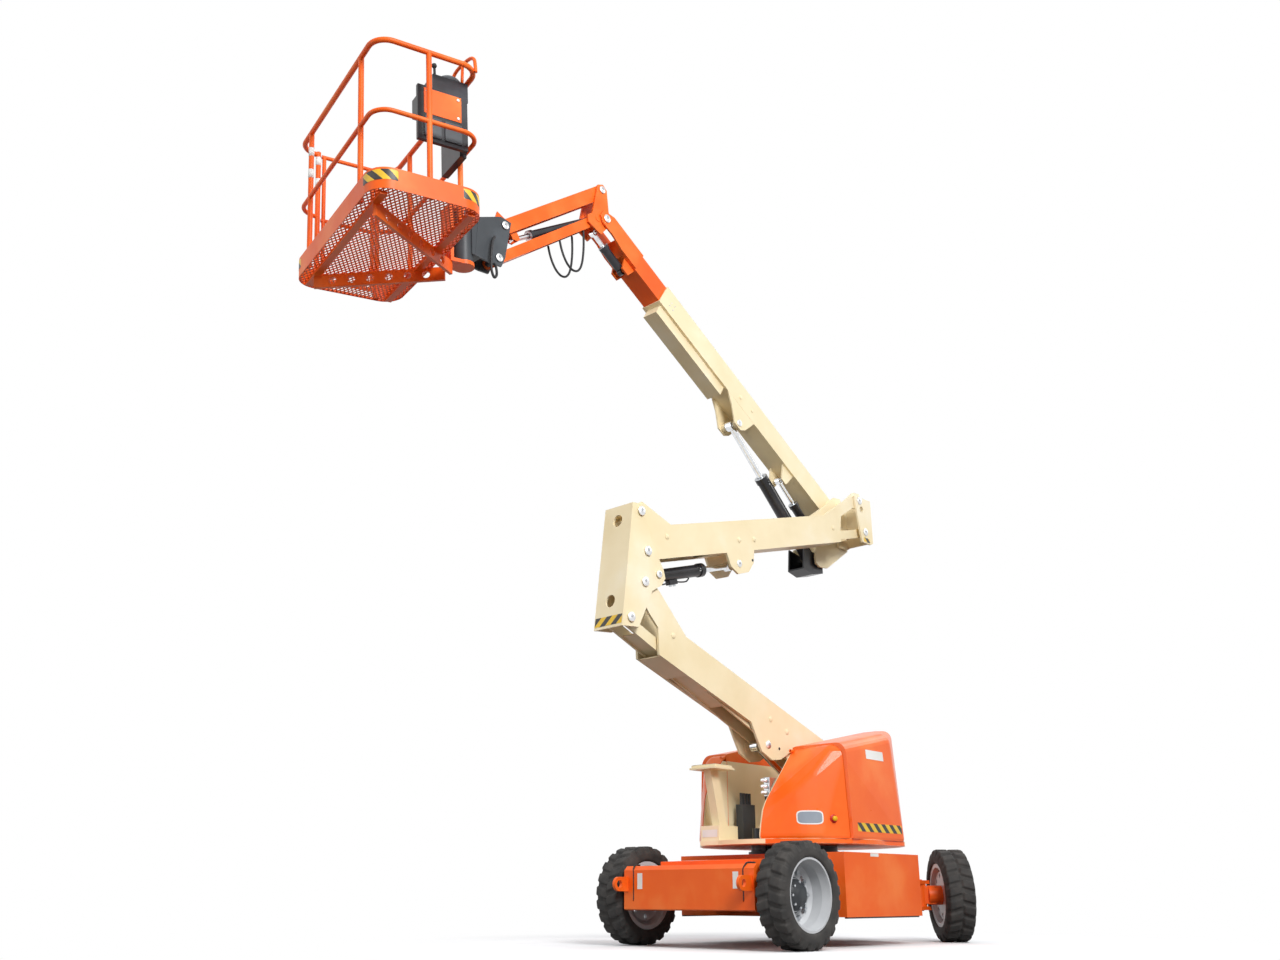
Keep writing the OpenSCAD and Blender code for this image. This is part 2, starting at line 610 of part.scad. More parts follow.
// Rear knuckle: two plates round the mid boom, two arm plates round the main boom, joined behind
kn_far = main_y - main_hw - side_gap - 22 - plate_t / 2;
kn_near = -bracket_y - plate_t - 5;
kn_mid = (kn_far + kn_near) / 2;
kn_gap = kn_near - kn_far - plate_t;
module knuckle_rear() polygon([qa + [-190, 40], qa + [80, 32], qa + [60, -80], qa + [-10, -399],
    qa + [-150, -399], qa + [-190, -380]]);
module knuckle_arm() polygon([qa + [-190, 40], qa + [80, 32], qa + [60, -80], qa + [20, -330],
    qa + [320, -440],
    qa + [345, -560], qa + [335, -620], qa + [282, -645], qa + [160, -632], qa + [-190, -401]]);
module rear_knuckle() color(cream) {
    difference() {
        union() {
            pair(bracket_y, plate_t) knuckle_rear();
            side(plate_t, kn_near) knuckle_arm();
            side(plate_t, kn_far) knuckle_arm();
        }
        for (p = [qa, qb, m0]) pin_y(p, pin_r - 2, 1600);
    }
    translate([qa.x - 189, kn_far - plate_t / 2 + 1, qa.y - 376])
        cube([16, bracket_y - kn_far + plate_t - 2, 410]);
    pin_y(qa, pin_r, 2 * bracket_y + plate_t + 4);
    pin_y(qb, pin_r, 2 * bracket_y + plate_t + 4);
    pin_y(m0, pin_r, kn_gap + 2 * plate_t + 4, kn_mid);
    pin_y(master_base, pin_of(master_r) - run, kn_gap + 2, kn_mid);
}
module pair_main(y, w) {
    side(w, main_y + y) children();
    side(w, main_y - y) children();
}
// Open black box that holds the lift cylinder's foot
module cylinder_box() color(black) difference() {
    union() {
        pair_main(82, 14) polygon([lift_base + [220, 100], lift_base + [240, -110], lift_base + [110, -140],
            lift_base + [-60, -100], lift_base + [-60, 50]]);
        side(164, main_y) polygon([lift_base + [240, -110], lift_base + [110, -140],
            lift_base + [110, -126], lift_base + [238, -96]]);
        side(164, main_y) polygon([lift_base + [110, -140], lift_base + [-60, -100],
            lift_base + [-60, -86], lift_base + [110, -126]]);
        pin_y(lift_base, pin_of(lift_r) - run, kn_gap - 2 * run, kn_mid);
    }
}
lift_r = 54;
master_r = 40;

// Main boom tube with the lift bracket and the hose carrier under it
main_low = -main_d / 2;
function mb(s, t) = at(m0, main_angle, s, t);
module main_boom() color(cream) difference() {
    union() {
        side(2 * main_hw, main_y) polygon([mb(-70, -60), mb(-70, 60), mb(-20, -main_low),
            mb(main_len, -main_low),
            mb(main_len, main_low), mb(-20, main_low)]);
        pair_main(main_hw - 7, 12) polygon([mb(1330, main_low + 4), mb(1395, -260), mb(1440, -308),
            mb(1535, -308),
            mb(1640, -190), mb(1760, main_low + 4)]);
        pair_main(main_hw - 30, 14) polygon([mb(650, main_low + 4), mb(690, -245), mb(760, -245),
            mb(820, main_low + 4)]);
        side(150, main_y) strip2(mb(1790, 0), mb(main_len - 40, 0), main_low - 95, main_low + 4);
        stub_main(lift_pin, 34);
    }
    side(2 * (main_hw - 8), main_y) strip2(mb(120, 0), mb(main_len - 90, 0), main_low + 8, -main_low - 8);
    side(2 * (fly_hw + run), main_y) strip2(mb(main_len - 100, 0), mb(main_len + 10, 0),
        fly_low - run, -fly_low + run);
    pin_y(m0, pin_r + run, 900, main_y);
}
module stub_main(p, r) {
    pin_y(p, r, 40, main_y + main_hw - 32);
    pin_y(p, r, 40, main_y - main_hw + 32);
}
module lift_barrel() barrel(lift_base, lift_pin, lift_r, lift_barrel_len, main_y);
module lift_rod() rod(lift_base, lift_pin, lift_r, lift_rod_start, main_y);
module master_barrel() barrel(master_base, master_pin, master_r, master_barrel_len, main_y);
module master_rod() rod(master_base, master_pin, master_r, master_rod_start, main_y);

// Fly section inside the main tube, with the nose ears that carry the jib base
fly_hw = main_hw - 8 - fly_gap;
fly_low = main_low + 8 + fly_gap;
module fly_boom() color(orange) difference() {
    union() {
        side(2 * fly_hw, main_y) polygon([mb(700, fly_low), mb(700, -fly_low), mb(nose_len - 281, -fly_low),
            mb(nose_len - 211, 60), mb(nose_len - 311, fly_low)]);
        pair_main(fly_hw + 7, 16) polygon([mb(nose_len - 461, fly_low + 1), mb(nose_len - 461, -fly_low - 1),
            mb(nose_len - 51, -fly_low - 1), mb(nose_len + 66, 40), mb(nose_len + 66, -30),
                mb(nose_len + 10, -66),
            mb(nose_len - 131, -66), mb(nose_len - 261, fly_low + 1)]);
        pair_main(60, 16) polygon([mb(nose_len - 481, fly_low + 4), mb(nose_len - 451, -190),
            mb(nose_len - 376, -190),
            mb(nose_len - 341, fly_low + 4)]);
        pin_y(slave_base, pin_of(slave_r) - run, 120, main_y);
    }
    side(2 * fly_hw - 16, main_y) strip2(mb(690, 0), mb(nose_len - 351, 0), fly_low + 8, -fly_low - 8);
    pin_y(nose, pin_r + run, 400, main_y);
}
slave_r = 36;
module slave_barrel() barrel(slave_base, slave_pin, slave_r, slave_barrel_len, main_y);
module slave_rod() rod(slave_base, slave_pin, slave_r, slave_rod_start, main_y);

// Jib
jb_y = jib_hw + 6 + 8;
jib_pin_r = 26;
module jib_base() color(orange) {
    difference() {
        pair_main(jb_y, 16) polygon([j1 + [-55, 15], j1 + [-10, 56], j1 + [48, 30], j2 + [62, 30],
            jib_cyl_base + [44, 20],
            jib_cyl_base + [34, -42], slave_pin + [40, -20], slave_pin + [-10, -40], nose + [-50, -40],
                nose + [-46, 50]]);
        for (p = [j1, j2, nose]) pin_y(p, jib_pin_r - 2, 800, main_y);
    }
    for (p = [j1, j2]) pin_y(p, jib_pin_r, 2 * jb_y + 24, main_y);
    pair_main(34, 12) bar2(j2, jib_cyl_base, 20);
    pin_y(nose, pin_r, 2 * (fly_hw + 20), main_y);
    pin_y(jib_cyl_base, pin_of(jib_r) - run, 78, main_y);
    stub_base(slave_pin, 20);
}
module stub_base(p, r) {
    pin_y(p, r, 30, main_y + jb_y - 10);
    pin_y(p, r, 30, main_y - jb_y + 10);
}
jib_r = 36;
module jib_arm() color(orange) difference() {
    union() {
        pair_main(jib_hw - 6, 12) polygon([for (p = [[-45, -45], [-45, 49], [jib_len - 60, 49],
            [jib_len - 20, 120],
            [jib_len + 60, 60], [jib_len + 44, -56], [jib_len - 20, -62], [60, -65]]) at(j1, -jib_angle,
                p[0], p[1])]);
        pair_main(eye_w(jib_r) / 2 + 10, 12) polygon([for (p = [[-40, 43], [50, 43], [40, -110],
            [0, -138], [-32, -130]])
            at(j1, -jib_angle, jib_pin_at + p[0], p[1])]);
        side(2 * jib_hw, main_y) strip2(at(j1, -jib_angle, -40, 0), at(j1, -jib_angle,
            jib_len - 60, 0), 39, 49);
    }
    pin_y(j1, jib_pin_r + run, 400, main_y);
    pin_y(k1, jib_pin_r + run, 400, main_y);
}
module jib_link() color(orange) difference() {
    union() {
        pair_main(jib_hw - 6, 12) bar2(j2, k2, 40);
        side(2 * jib_hw, main_y) strip2(at(j2, -jib_angle, jib_len - 400, 0), at(j2, -jib_angle,
            jib_len - 90, 0), -39, -31);
    }
    pin_y(j2, jib_pin_r + run, 400, main_y);
    pin_y(k2, jib_pin_r + run, 400, main_y);
}
module jib_barrel() barrel(jib_cyl_base, jib_cyl_pin, jib_r, jib_barrel_len, main_y);
module jib_rod() rod(jib_cyl_base, jib_cyl_pin, jib_r, jib_rod_start, main_y);

// Rotator bracket: two grey plates on the jib's pins and the vertical rotator
module leaned() translate([rot_x, main_y, rot_z]) rotate([0, platform_tilt, 0]) children();
module rotator_bracket() color(grey) {
    difference() {
        pair_main(jb_y, 16) polygon([k1 + [-60, 50], k1 + [40, 60], [rot_x - 50, k1.y - 40],
            [rot_x - 40, rot_z + 60],
            k2 + [60, -70], k2 + [-30, -60], k2 + [-60, 20]]);
        for (p = [k1, k2]) pin_y(p, jib_pin_r - 2, 400, main_y);
    }
    for (p = [k1, k2]) pin_y(p, jib_pin_r, 2 * jb_y + 30, main_y);
    leaned() difference() {
        union() {
            cylinder(r = rot_r, h = rot_h);
            translate([-rot_r - 40, -jb_y - 6, 60]) cube([rot_r + 20, 2 * jb_y + 12, rot_h - 140]);
        }
        translate([0, 0, -1]) cylinder(r = 24 + run, h = rot_h + 2);
    }
}

// Platform, drawn from the rotator's axis with its width along +X
module platform_frame() leaned() rotate([0, 0, platform_turn]) children();
module platform_support() color(orange) platform_frame() {
    for (z = [-30 - run, rot_h + run]) translate([0, 0, z]) {
        cylinder(r = rot_r + 8, h = 30);
        translate([0, -rot_r, 1]) cube([rot_r + 50, 2 * rot_r, 28]);
    }
    translate([rot_r + 40, -rot_r - 10, -34]) cube([24, 2 * rot_r + 20, rot_h + 70]);
    translate([0, 0, -20]) cylinder(r = 24, h = rot_h + 40);
    for (s = [-1, 1]) beam_v(s);
    for (x = [deck_x0 + 60, deck_x0 + deck_w - 120]) translate([x, -deck_l / 2 + 60, floor_z - 30])
        cube([50, deck_l - 120, 25]);
}
// Slanting floor beam with lightening holes, from the rotator to the platform's far corners
module beam_v(s) {
    far = [deck_x0 + deck_w - 90, s * (deck_l / 2 - 200)];
    near = [rot_r + 50, s * 50];
    run_a = angle_of(far - near);
    len = norm(far - near);
    translate([near.x, near.y, 0]) rotate([0, 0, run_a]) difference() {
        translate([0, -12, floor_z - 112]) cube([len, 24, 102 - run]);
        for (k = [1 : 6]) translate([k * len / 7, 0, floor_z - 62]) rotate([90, 0, 0])
            cylinder(r = 28, h = 60, center = true);
    }
}
module rounded(g) {
    r = corner_r - g;
    for (x = [g + r, deck_w - g - r]) for (y = [g + r, deck_l - g - r])
        translate([deck_x0 + x, y - deck_l / 2]) circle(r);
    translate([deck_x0 + g + r, g - deck_l / 2]) square([deck_w - 2 * (g + r), deck_l - 2 * g]);
    translate([deck_x0 + g, g + r - deck_l / 2]) square([deck_w - 2 * g, deck_l - 2 * (g + r)]);
}
floor_t = 6;
floor_top = floor_z - 4 + floor_t + run;
module platform_floor() color(orange) platform_frame() translate([0, 0, floor_z - 4])
    linear_extrude(floor_t) rounded(4 + run);
module toe_board() color(orange) platform_frame() difference() {
    translate([0, 0, floor_z - 10]) linear_extrude(toe_h) rounded(0);
    translate([0, 0, floor_z - 20]) linear_extrude(toe_h + 40) rounded(4);
    gate_cut();
}
module gate_cut(g = 0) translate([deck_x0 + gate_x0 - g, -deck_l / 2 - 60, floor_z + 10])
    cube([gate_w + 2 * g, 220, rail_h + 200]);
gate_x0 = 180;
gate_w = deck_w - 2 * gate_x0;

// A rail loop at a height: straight tubes and quarter bends
module rail_loop(z, r) translate([0, 0, z]) {
    i = rail_in;
    c = corner_r - i;
    for (x = [i + c, deck_w - i - c]) for (y = [i + c, deck_l - i - c]) {
        a = x < deck_w / 2 ? (y < deck_l / 2 ? 180 : 90) : (y < deck_l / 2 ? 270 : 0);
        translate([deck_x0 + x, y - deck_l / 2, 0]) rotate([0, 0, a])
            rotate_extrude(angle = 90) translate([c, 0]) circle(r, $fn = 24);
    }
    for (x = [i, deck_w - i]) translate([deck_x0 + x, 0, 0]) rotate([90, 0, 0])
        cylinder(r = r, h = deck_l - 2 * (i + c), center = true, $fn = 24);
    for (y = [i, deck_l - i]) translate([deck_x0 + deck_w / 2, y - deck_l / 2, 0]) rotate([0, 90, 0])
        cylinder(r = r, h = deck_w - 2 * (i + c), center = true, $fn = 24);
}
rail_in = rail_r + 4 + run;
post_at = [[rail_in, -0.28], [rail_in, 0.28], [deck_w - rail_in, -0.32], [deck_w - rail_in, 0.32]];
module platform_rails() color(orange) platform_frame() {
    difference() {
        union() {
            rail_loop(floor_z + rail_h, rail_r);
            rail_loop(floor_z + rail_h * 0.52, rail_r - 3);
        }
        gate_cut(rail_r);
    }
    for (p = post_at) translate([deck_x0 + p[0], p[1] * deck_l, floor_top])
        cylinder(r = rail_r, h = rail_h - floor_top + floor_z, $fn = 24);
    for (x = [gate_x0 - rail_r, gate_x0 + gate_w + rail_r])
        translate([deck_x0 + x, -deck_l / 2 + rail_in, floor_top])
        cylinder(r = rail_r, h = rail_h - floor_top + floor_z + rail_r, $fn = 24);
    translate([deck_x0 + deck_w / 2, deck_l / 2 - rail_in, floor_top])
        cylinder(r = rail_r, h = rail_h - floor_top + floor_z, $fn = 24);
}
// Swing gate in the far end
module platform_gate() color(orange) platform_frame()
    translate([deck_x0 + gate_x0 + run, -deck_l / 2 + rail_in, floor_z + 20]) {
    w = gate_w - gate_gap;
    for (z = [40, 0.48 * rail_h, rail_h - 30]) translate([0, 0, z]) rotate([0, 90, 0])
        cylinder(r = rail_r - 4, h = w, $fn = 24);
    for (x = [rail_r, w - rail_r]) translate([x, 0, 40]) cylinder(r = rail_r - 4, h = rail_h - 70, $fn = 24);
}
gate_gap = 8;
console_low = 500;
// Control console on the near end of the boom side
module console() color(grey) platform_frame() {
    translate([deck_x0 + rail_in + rail_r + run, 0.18 * deck_l, floor_z + console_low])
        cube([50, 300, rail_h - 180 - console_low]);
    translate([deck_x0 + rail_in + rail_r + run, 0.18 * deck_l - 20, floor_z + rail_h - 190])
        cube([260, 360, 150]);
}

// Hoses: a tube carried along points
module hose(points) color(black) {
    n = len(points);
    sides = 8;
    rings = [for (i = [0 : n - 1]) let (a = points[max(i - 1, 0)], b = points[min(i + 1, n - 1)],
        d = (b - a) / norm(b - a), u = [0, 1, 0], v = cross(d, u))
        for (k = [0 : sides - 1]) points[i] + hose_r * (cos(k * 360 / sides) * u + sin(k * 360 / sides) * v)];
    walls = [for (i = [0 : n - 2]) for (k = [0 : sides - 1]) let (m = (k + 1) % sides)
        [i * sides + k, (i + 1) * sides + k, (i + 1) * sides + m, i * sides + m]];
    caps = [[for (k = [0 : sides - 1]) k], [for (k = [sides - 1 : -1 : 0]) (n - 1) * sides + k]];
    polyhedron(rings, concat(walls, caps));
}
module jib_hose_near() hose(jib_hose_a);
module jib_hose_far() hose(jib_hose_b);

chassis_frame();
slew_ring();
drive_motors();
steer_axle();
knuckle_near();
knuckle_far();
tie_rod();
rim_drive_near();
rim_drive_far();
rim_steer_near();
rim_steer_far();
tyre_drive_near();
tyre_drive_far();
tyre_steer_near();
tyre_steer_far();
turntable_frame();
tail_cover_near();
tail_cover_far();
hood_near();
hood_far();
hood_panel_near();
hood_panel_far();
battery_packs();
boom_rest();
valve_block();
swing_drive();
lower_boom();
lower_link();
lower_barrel();
lower_rod();
upright();
mid_boom();
mid_link();
mid_barrel();
mid_rod();
rear_knuckle();
cylinder_box();
main_boom();
lift_barrel();
lift_rod();
master_barrel();
master_rod();
fly_boom();
slave_barrel();
slave_rod();
jib_base();
jib_arm();
jib_link();
jib_barrel();
jib_rod();
rotator_bracket();
platform_support();
platform_floor();
toe_board();
platform_rails();
platform_gate();
console();
jib_hose_near();
jib_hose_far();
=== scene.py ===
"""Looks of an articulating boom lift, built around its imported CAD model.

Everything is in metres, +Z up, +X the way the boom points, +Y the side that the photograph shows.
"""

import math

import bmesh
import bpy
import numpy as np
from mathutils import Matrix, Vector
from mathutils.bvhtree import BVHTree


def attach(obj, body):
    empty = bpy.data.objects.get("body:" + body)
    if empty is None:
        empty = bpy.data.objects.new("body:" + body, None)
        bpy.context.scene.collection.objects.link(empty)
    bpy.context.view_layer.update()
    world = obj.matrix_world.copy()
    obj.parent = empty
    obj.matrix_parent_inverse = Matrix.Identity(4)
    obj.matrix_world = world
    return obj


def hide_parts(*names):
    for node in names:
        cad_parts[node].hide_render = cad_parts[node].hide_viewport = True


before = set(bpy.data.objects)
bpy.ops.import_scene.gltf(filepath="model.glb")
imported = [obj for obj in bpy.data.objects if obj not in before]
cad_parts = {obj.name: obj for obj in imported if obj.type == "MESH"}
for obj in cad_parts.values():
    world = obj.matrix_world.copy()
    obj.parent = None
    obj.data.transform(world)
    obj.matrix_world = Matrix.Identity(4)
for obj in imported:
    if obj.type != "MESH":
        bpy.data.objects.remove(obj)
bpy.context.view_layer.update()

bl_info = {
    "name": "Boom lift dresser",
    "version": (1, 0, 0),
    "blender": (4, 0, 0),
    "location": "View3D > Sidebar > Boom lift",
    "description": "Dresses the boom lift's CAD model with tyres, hoses, plates, markings and finishes",
    "category": "Object",
}

# The main boom, the fly and the jib stand this far to the machine's far side
MAIN_Y = -0.270
# Rotator's foot, and how the platform leans and turns about it
ROTATOR = np.array([3.3497, MAIN_Y, 4.6570])
PLATFORM_LEAN = math.radians(5)
PLATFORM_TURN = math.radians(-13)
# Platform floor seen from the rotator's foot: its height, rear edge, width, length and corner radius
FLOOR_Z = -0.020
DECK_X0, DECK_W, DECK_L, CORNER_R = 0.200, 0.790, 1.580, 0.150
# How far a film stands off what it is stuck to
FILM = 0.0012

# Photograph's camera: place, pitch above level, heading and sensor width in millimetres
CAMERA_PLACE = (7.783, 5.703, 0.347)
CAMERA_PITCH, CAMERA_HEADING = math.radians(19.857), math.radians(223.5)
SENSOR = 36.0
# Lamps: name, place, aim, width and watts
LAMPS = (
    ("key_light", (5.5, 9.5, 8.0), (0.5, 0, 2.2), 4.0, 1250),
    ("fill_light", (10.0, -4.0, 4.0), (0.5, 0, 2.5), 6.0, 180),
    ("rim_light", (-7.0, 2.0, 8.0), (0.5, 0, 2.8), 5.0, 160),
)
# Half the backdrop's width, and the distances between which it melts into white
BACKDROP = 60.0
MELT_FROM, MELT_TO = 1.9, 3.6


# Finishes


def linear(code):
    """An sRGB hex colour as linear red, green, blue, alpha."""
    values = [int(code[i:i + 2], 16) / 255 for i in (1, 3, 5)]
    return [v / 12.92 if v <= 0.04045 else ((v + 0.055) / 1.055) ** 2.4 for v in values] + [1.0]


def add_node(tree, kind, links=None, **settings):
    """Adds a node, sets its properties and sockets, and links its inputs from other sockets.

    A setting whose name is a socket goes to that socket, and any other to the node itself."""
    new = tree.nodes.new(kind)
    for name, value in settings.items():
        socket = name.replace("_", " ")
        if name in new.bl_rna.properties:
            setattr(new, name, value)
        elif socket in new.inputs:
            new.inputs[socket].default_value = value
        else:
            raise ValueError(f"{kind} has no {name}")
    for name, source in (links or {}).items():
        tree.links.new(source, new.inputs[name])
    return new


def start_material(name, **sockets):
    """A new material with a Principled shader; returns the tree, shader and object coordinates."""
    material = bpy.data.materials.new(name)
    material.use_nodes = True
    tree = material.node_tree
    tree.nodes.clear()
    out = tree.nodes.new("ShaderNodeOutputMaterial")
    shader = add_node(tree, "ShaderNodeBsdfPrincipled", **sockets)
    tree.links.new(shader.outputs["BSDF"], out.inputs["Surface"])
    coords = tree.nodes.new("ShaderNodeTexCoord").outputs["Object"]
    return material, tree, shader, coords


def ramp(tree, factor, stops):
    """A colour ramp through (place, hex colour) stops."""
    new = add_node(tree, "ShaderNodeValToRGB", {"Fac": factor})
    elements = new.color_ramp.elements
    while len(elements) < len(stops):
        elements.new(0.5)
    for element, (place, code) in zip(elements, stops):
        element.position = place
        element.color = linear(code)
    return new.outputs["Color"]


def spread(tree, factor, low, high, start=0.0, end=1.0, **settings):
    """A factor from start to end spread between two values."""
    new = add_node(tree, "ShaderNodeMapRange", {"Value": factor}, From_Min=start, From_Max=end,
                   To_Min=low, To_Max=high, **settings)
    return new.outputs["Result"]


def noise(tree, coords, size, detail=2.0):
    """Noise from 0 to 1 with blotches of about that size in metres."""
    return add_node(tree, "ShaderNodeTexNoise", {"Vector": coords}, Scale=1 / size,
                    Detail=detail).outputs["Fac"]


def work(tree, operation, *values):
    """A math node on one or two values, each a socket or a number."""
    new = add_node(tree, "ShaderNodeMath", operation=operation)
    for socket, value in zip(new.inputs, values):
        if isinstance(value, float):
            socket.default_value = value
        else:
            tree.links.new(value, socket)
    return new.outputs["Value"]


def blend(tree, factor, first, second):
    """Two colours, each a socket or a hex code, mixed by a factor."""
    new = add_node(tree, "ShaderNodeMixRGB", {"Fac": factor})
    for name, colour in (("Color1", first), ("Color2", second)):
        if isinstance(colour, str):
            new.inputs[name].default_value = linear(colour)
        else:
            tree.links.new(colour, new.inputs[name])
    return new.outputs["Color"]


def drive(tree, shader, colour, rough):
    """Links a shader's colour and roughness."""
    tree.links.new(colour, shader.inputs["Base Color"])
    tree.links.new(rough, shader.inputs["Roughness"])


def dent(tree, shader, height, strength, distance):
    """Gives a shader a bump that follows a height."""
    bump = add_node(tree, "ShaderNodeBump", {"Height": height}, Strength=strength, Distance=distance)
    tree.links.new(bump.outputs["Normal"], shader.inputs["Normal"])


def seen_ray(tree):
    """1 for a ray from the camera, off a glossy surface or through a clear one, and 0 for any other."""
    rays = tree.nodes.new("ShaderNodeLightPath").outputs
    seen = work(tree, "MAXIMUM", rays["Is Camera Ray"], rays["Is Glossy Ray"])
    return work(tree, "MAXIMUM", seen, rays["Is Transmission Ray"])


def enamel(name, colour, shade, light, gloss=0.35, coat=0.0):
    """Sprayed enamel on steel: soft orange peel, slow drift of shade and paler worn arrises.

    The peel is really about 2 mm wide; it is drawn at 6 mm so that it shows."""
    material, tree, shader, coords = start_material(name, Specular_IOR_Level=0.28, Coat_Weight=coat,
                                                    Coat_Roughness=0.12)
    colours = ramp(tree, noise(tree, coords, 0.45, 4.0), [(0.32, shade), (0.52, colour), (0.72, light)])
    edge = add_node(tree, "ShaderNodeBevel", Radius=0.006, samples=4).outputs["Normal"]
    face = add_node(tree, "ShaderNodeNewGeometry").outputs["Normal"]
    bend = add_node(tree, "ShaderNodeVectorMath", {0: edge, 1: face},
                    operation="DOT_PRODUCT").outputs["Value"]
    rubbed = work(tree, "MULTIPLY", spread(tree, bend, 0.0, 0.45, 0.99, 0.86),
                  noise(tree, coords, 0.02, 3.0))
    smear = noise(tree, coords, 0.09, 5.0)
    drive(tree, shader, blend(tree, rubbed, colours, light),
          spread(tree, smear, gloss - 0.07, gloss + 0.09))
    dent(tree, shader, noise(tree, coords, 0.006, 1.0), 0.05, 0.001)
    return material


def bright_metal(name, dark, pale, rough, grit, depth):
    """Bare metal: chromed rods or turned steel with fine marks; grit is the marks' size in metres."""
    material, tree, shader, coords = start_material(name, Metallic=1.0)
    marks = noise(tree, coords, grit, 4.0)
    drive(tree, shader, ramp(tree, marks, [(0.3, dark), (0.7, pale)]),
          spread(tree, marks, rough * 0.7, rough * 1.4))
    dent(tree, shader, marks, depth, 0.0005)
    return material


def rubber(name, colour, dusty, rough=0.75, grain=0.008):
    """Vulcanised rubber: dull, with a fine grain and pale dust in patches."""
    material, tree, shader, coords = start_material(name, Metallic=0.0, Specular_IOR_Level=0.35)
    patch = noise(tree, coords, 0.1, 6.0)
    drive(tree, shader, ramp(tree, patch, [(0.35, colour), (0.75, dusty)]),
          spread(tree, patch, rough - 0.12, rough + 0.12))
    dent(tree, shader, noise(tree, coords, grain, 3.0), 0.12, 0.001)
    return material


def striped(name, first, second, pitch, gloss=0.4):
    """Reflective film in slanting bands; pitch is the width of two bands along the film's UV in metres."""
    material, tree, shader, coords = start_material(name, Metallic=0.0)
    film = tree.nodes.new("ShaderNodeTexCoord").outputs["UV"]
    along = add_node(tree, "ShaderNodeSeparateXYZ", {"Vector": film}).outputs
    turns = work(tree, "DIVIDE", work(tree, "ADD", along["X"], along["Y"]), pitch)
    side = work(tree, "GREATER_THAN", work(tree, "FRACT", turns), 0.5)
    dirt = noise(tree, coords, 0.05, 4.0)
    pale = ramp(tree, dirt, [(0.3, first), (0.8, "#d9b23a")])
    dark = ramp(tree, dirt, [(0.3, second), (0.8, "#3a3834")])
    drive(tree, shader, blend(tree, side, pale, dark), spread(tree, dirt, gloss - 0.1, gloss + 0.15))
    return material


# Materials by short name, filled by make_finishes
FINISHES = {}


def make_finishes():
    """All finishes of the machine, by short name."""
    FINISHES.update(
        orange=enamel("orange_enamel_on_steel", "#f4661a", "#ee5c12", "#fa7e36", 0.40),
        cover=enamel("orange_gelcoat_cover", "#f86a1a", "#f36012", "#fc8238", 0.30, coat=0.12),
        cream=enamel("cream_enamel_on_steel", "#f3e3bd", "#ecdab0", "#f8edd2", 0.42),
        black=enamel("black_enamel_on_steel", "#232327", "#1a1a1d", "#3a3a40", 0.32, coat=0.2),
        grey=enamel("dark_grey_enamel", "#43474b", "#383b3f", "#5c6166", 0.40),
        silver=enamel("silver_wheel_paint", "#c6c8ca", "#b4b6b9", "#dddee0", 0.32, coat=0.2),
        hub=enamel("charcoal_hub_paint", "#3a3d40", "#2e3033", "#55595d", 0.45),
        chrome=bright_metal("hard_chromed_rod", "#d4d6d9", "#eceef0", 0.10, 0.03, 0.02),
        steel=bright_metal("zinc_plated_steel", "#a9adb1", "#cfd2d5", 0.32, 0.012, 0.06),
        tyre=rubber("tyre_rubber", "#2b2a29", "#4a4744"),
        hose=rubber("hose_rubber", "#1b1b1d", "#2c2c2e", 0.5, 0.004),
        pad=rubber("black_pad_rubber", "#202022", "#3a3937", 0.7, 0.006),
        hazard=striped("yellow_black_film", "#f2c21b", "#1c1b1a", 0.11),
        plate=bright_metal("blank_aluminium_plate", "#d9dadb", "#e9eaeb", 0.4, 0.02, 0.02),
        label=enamel("blank_white_film", "#e9e7e2", "#dddad3", "#f6f5f2", 0.42),
        badge=enamel("blank_blue_grey_film", "#8f98a3", "#7f8894", "#aab2bb", 0.3, coat=0.3),
        yellow=enamel("yellow_plastic", "#eab91c", "#d9a812", "#f5cf4d", 0.38),
        red=enamel("red_plastic", "#c9231b", "#b21b14", "#de4a3c", 0.35),
        white=enamel("white_reflective_band", "#eeece8", "#dfdcd6", "#f8f7f4", 0.35),
    )


# CAD nodes by finish
NODE_FINISH = {
    "orange": ["chassis_frame", "steer_axle", "knuckle_near", "knuckle_far", "fly_boom", "jib_base",
               "jib_arm", "jib_link", "platform_support", "platform_floor", "toe_board", "platform_rails",
               "platform_gate"],
    "cover": ["tail_cover_near", "tail_cover_far", "hood_near", "hood_far"],
    "cream": ["turntable_frame", "boom_rest", "lower_boom", "lower_link", "upright", "mid_boom", "mid_link",
              "rear_knuckle", "main_boom", "hood_panel_near", "hood_panel_far"],
    "black": ["swing_drive", "cylinder_box", "lower_barrel", "mid_barrel", "lift_barrel", "master_barrel",
              "slave_barrel", "jib_barrel", "console"],
    "grey": ["valve_block", "slew_ring", "drive_motors", "tie_rod", "battery_packs", "rotator_bracket"],
    "silver": ["rim_drive_near", "rim_drive_far", "rim_steer_near", "rim_steer_far"],
    "chrome": ["lower_rod", "mid_rod", "lift_rod", "master_rod", "slave_rod", "jib_rod"],
    "tyre": ["tyre_drive_near", "tyre_drive_far", "tyre_steer_near", "tyre_steer_far"],
    "hose": ["jib_hose_near", "jib_hose_far"],
}


# Surfaces


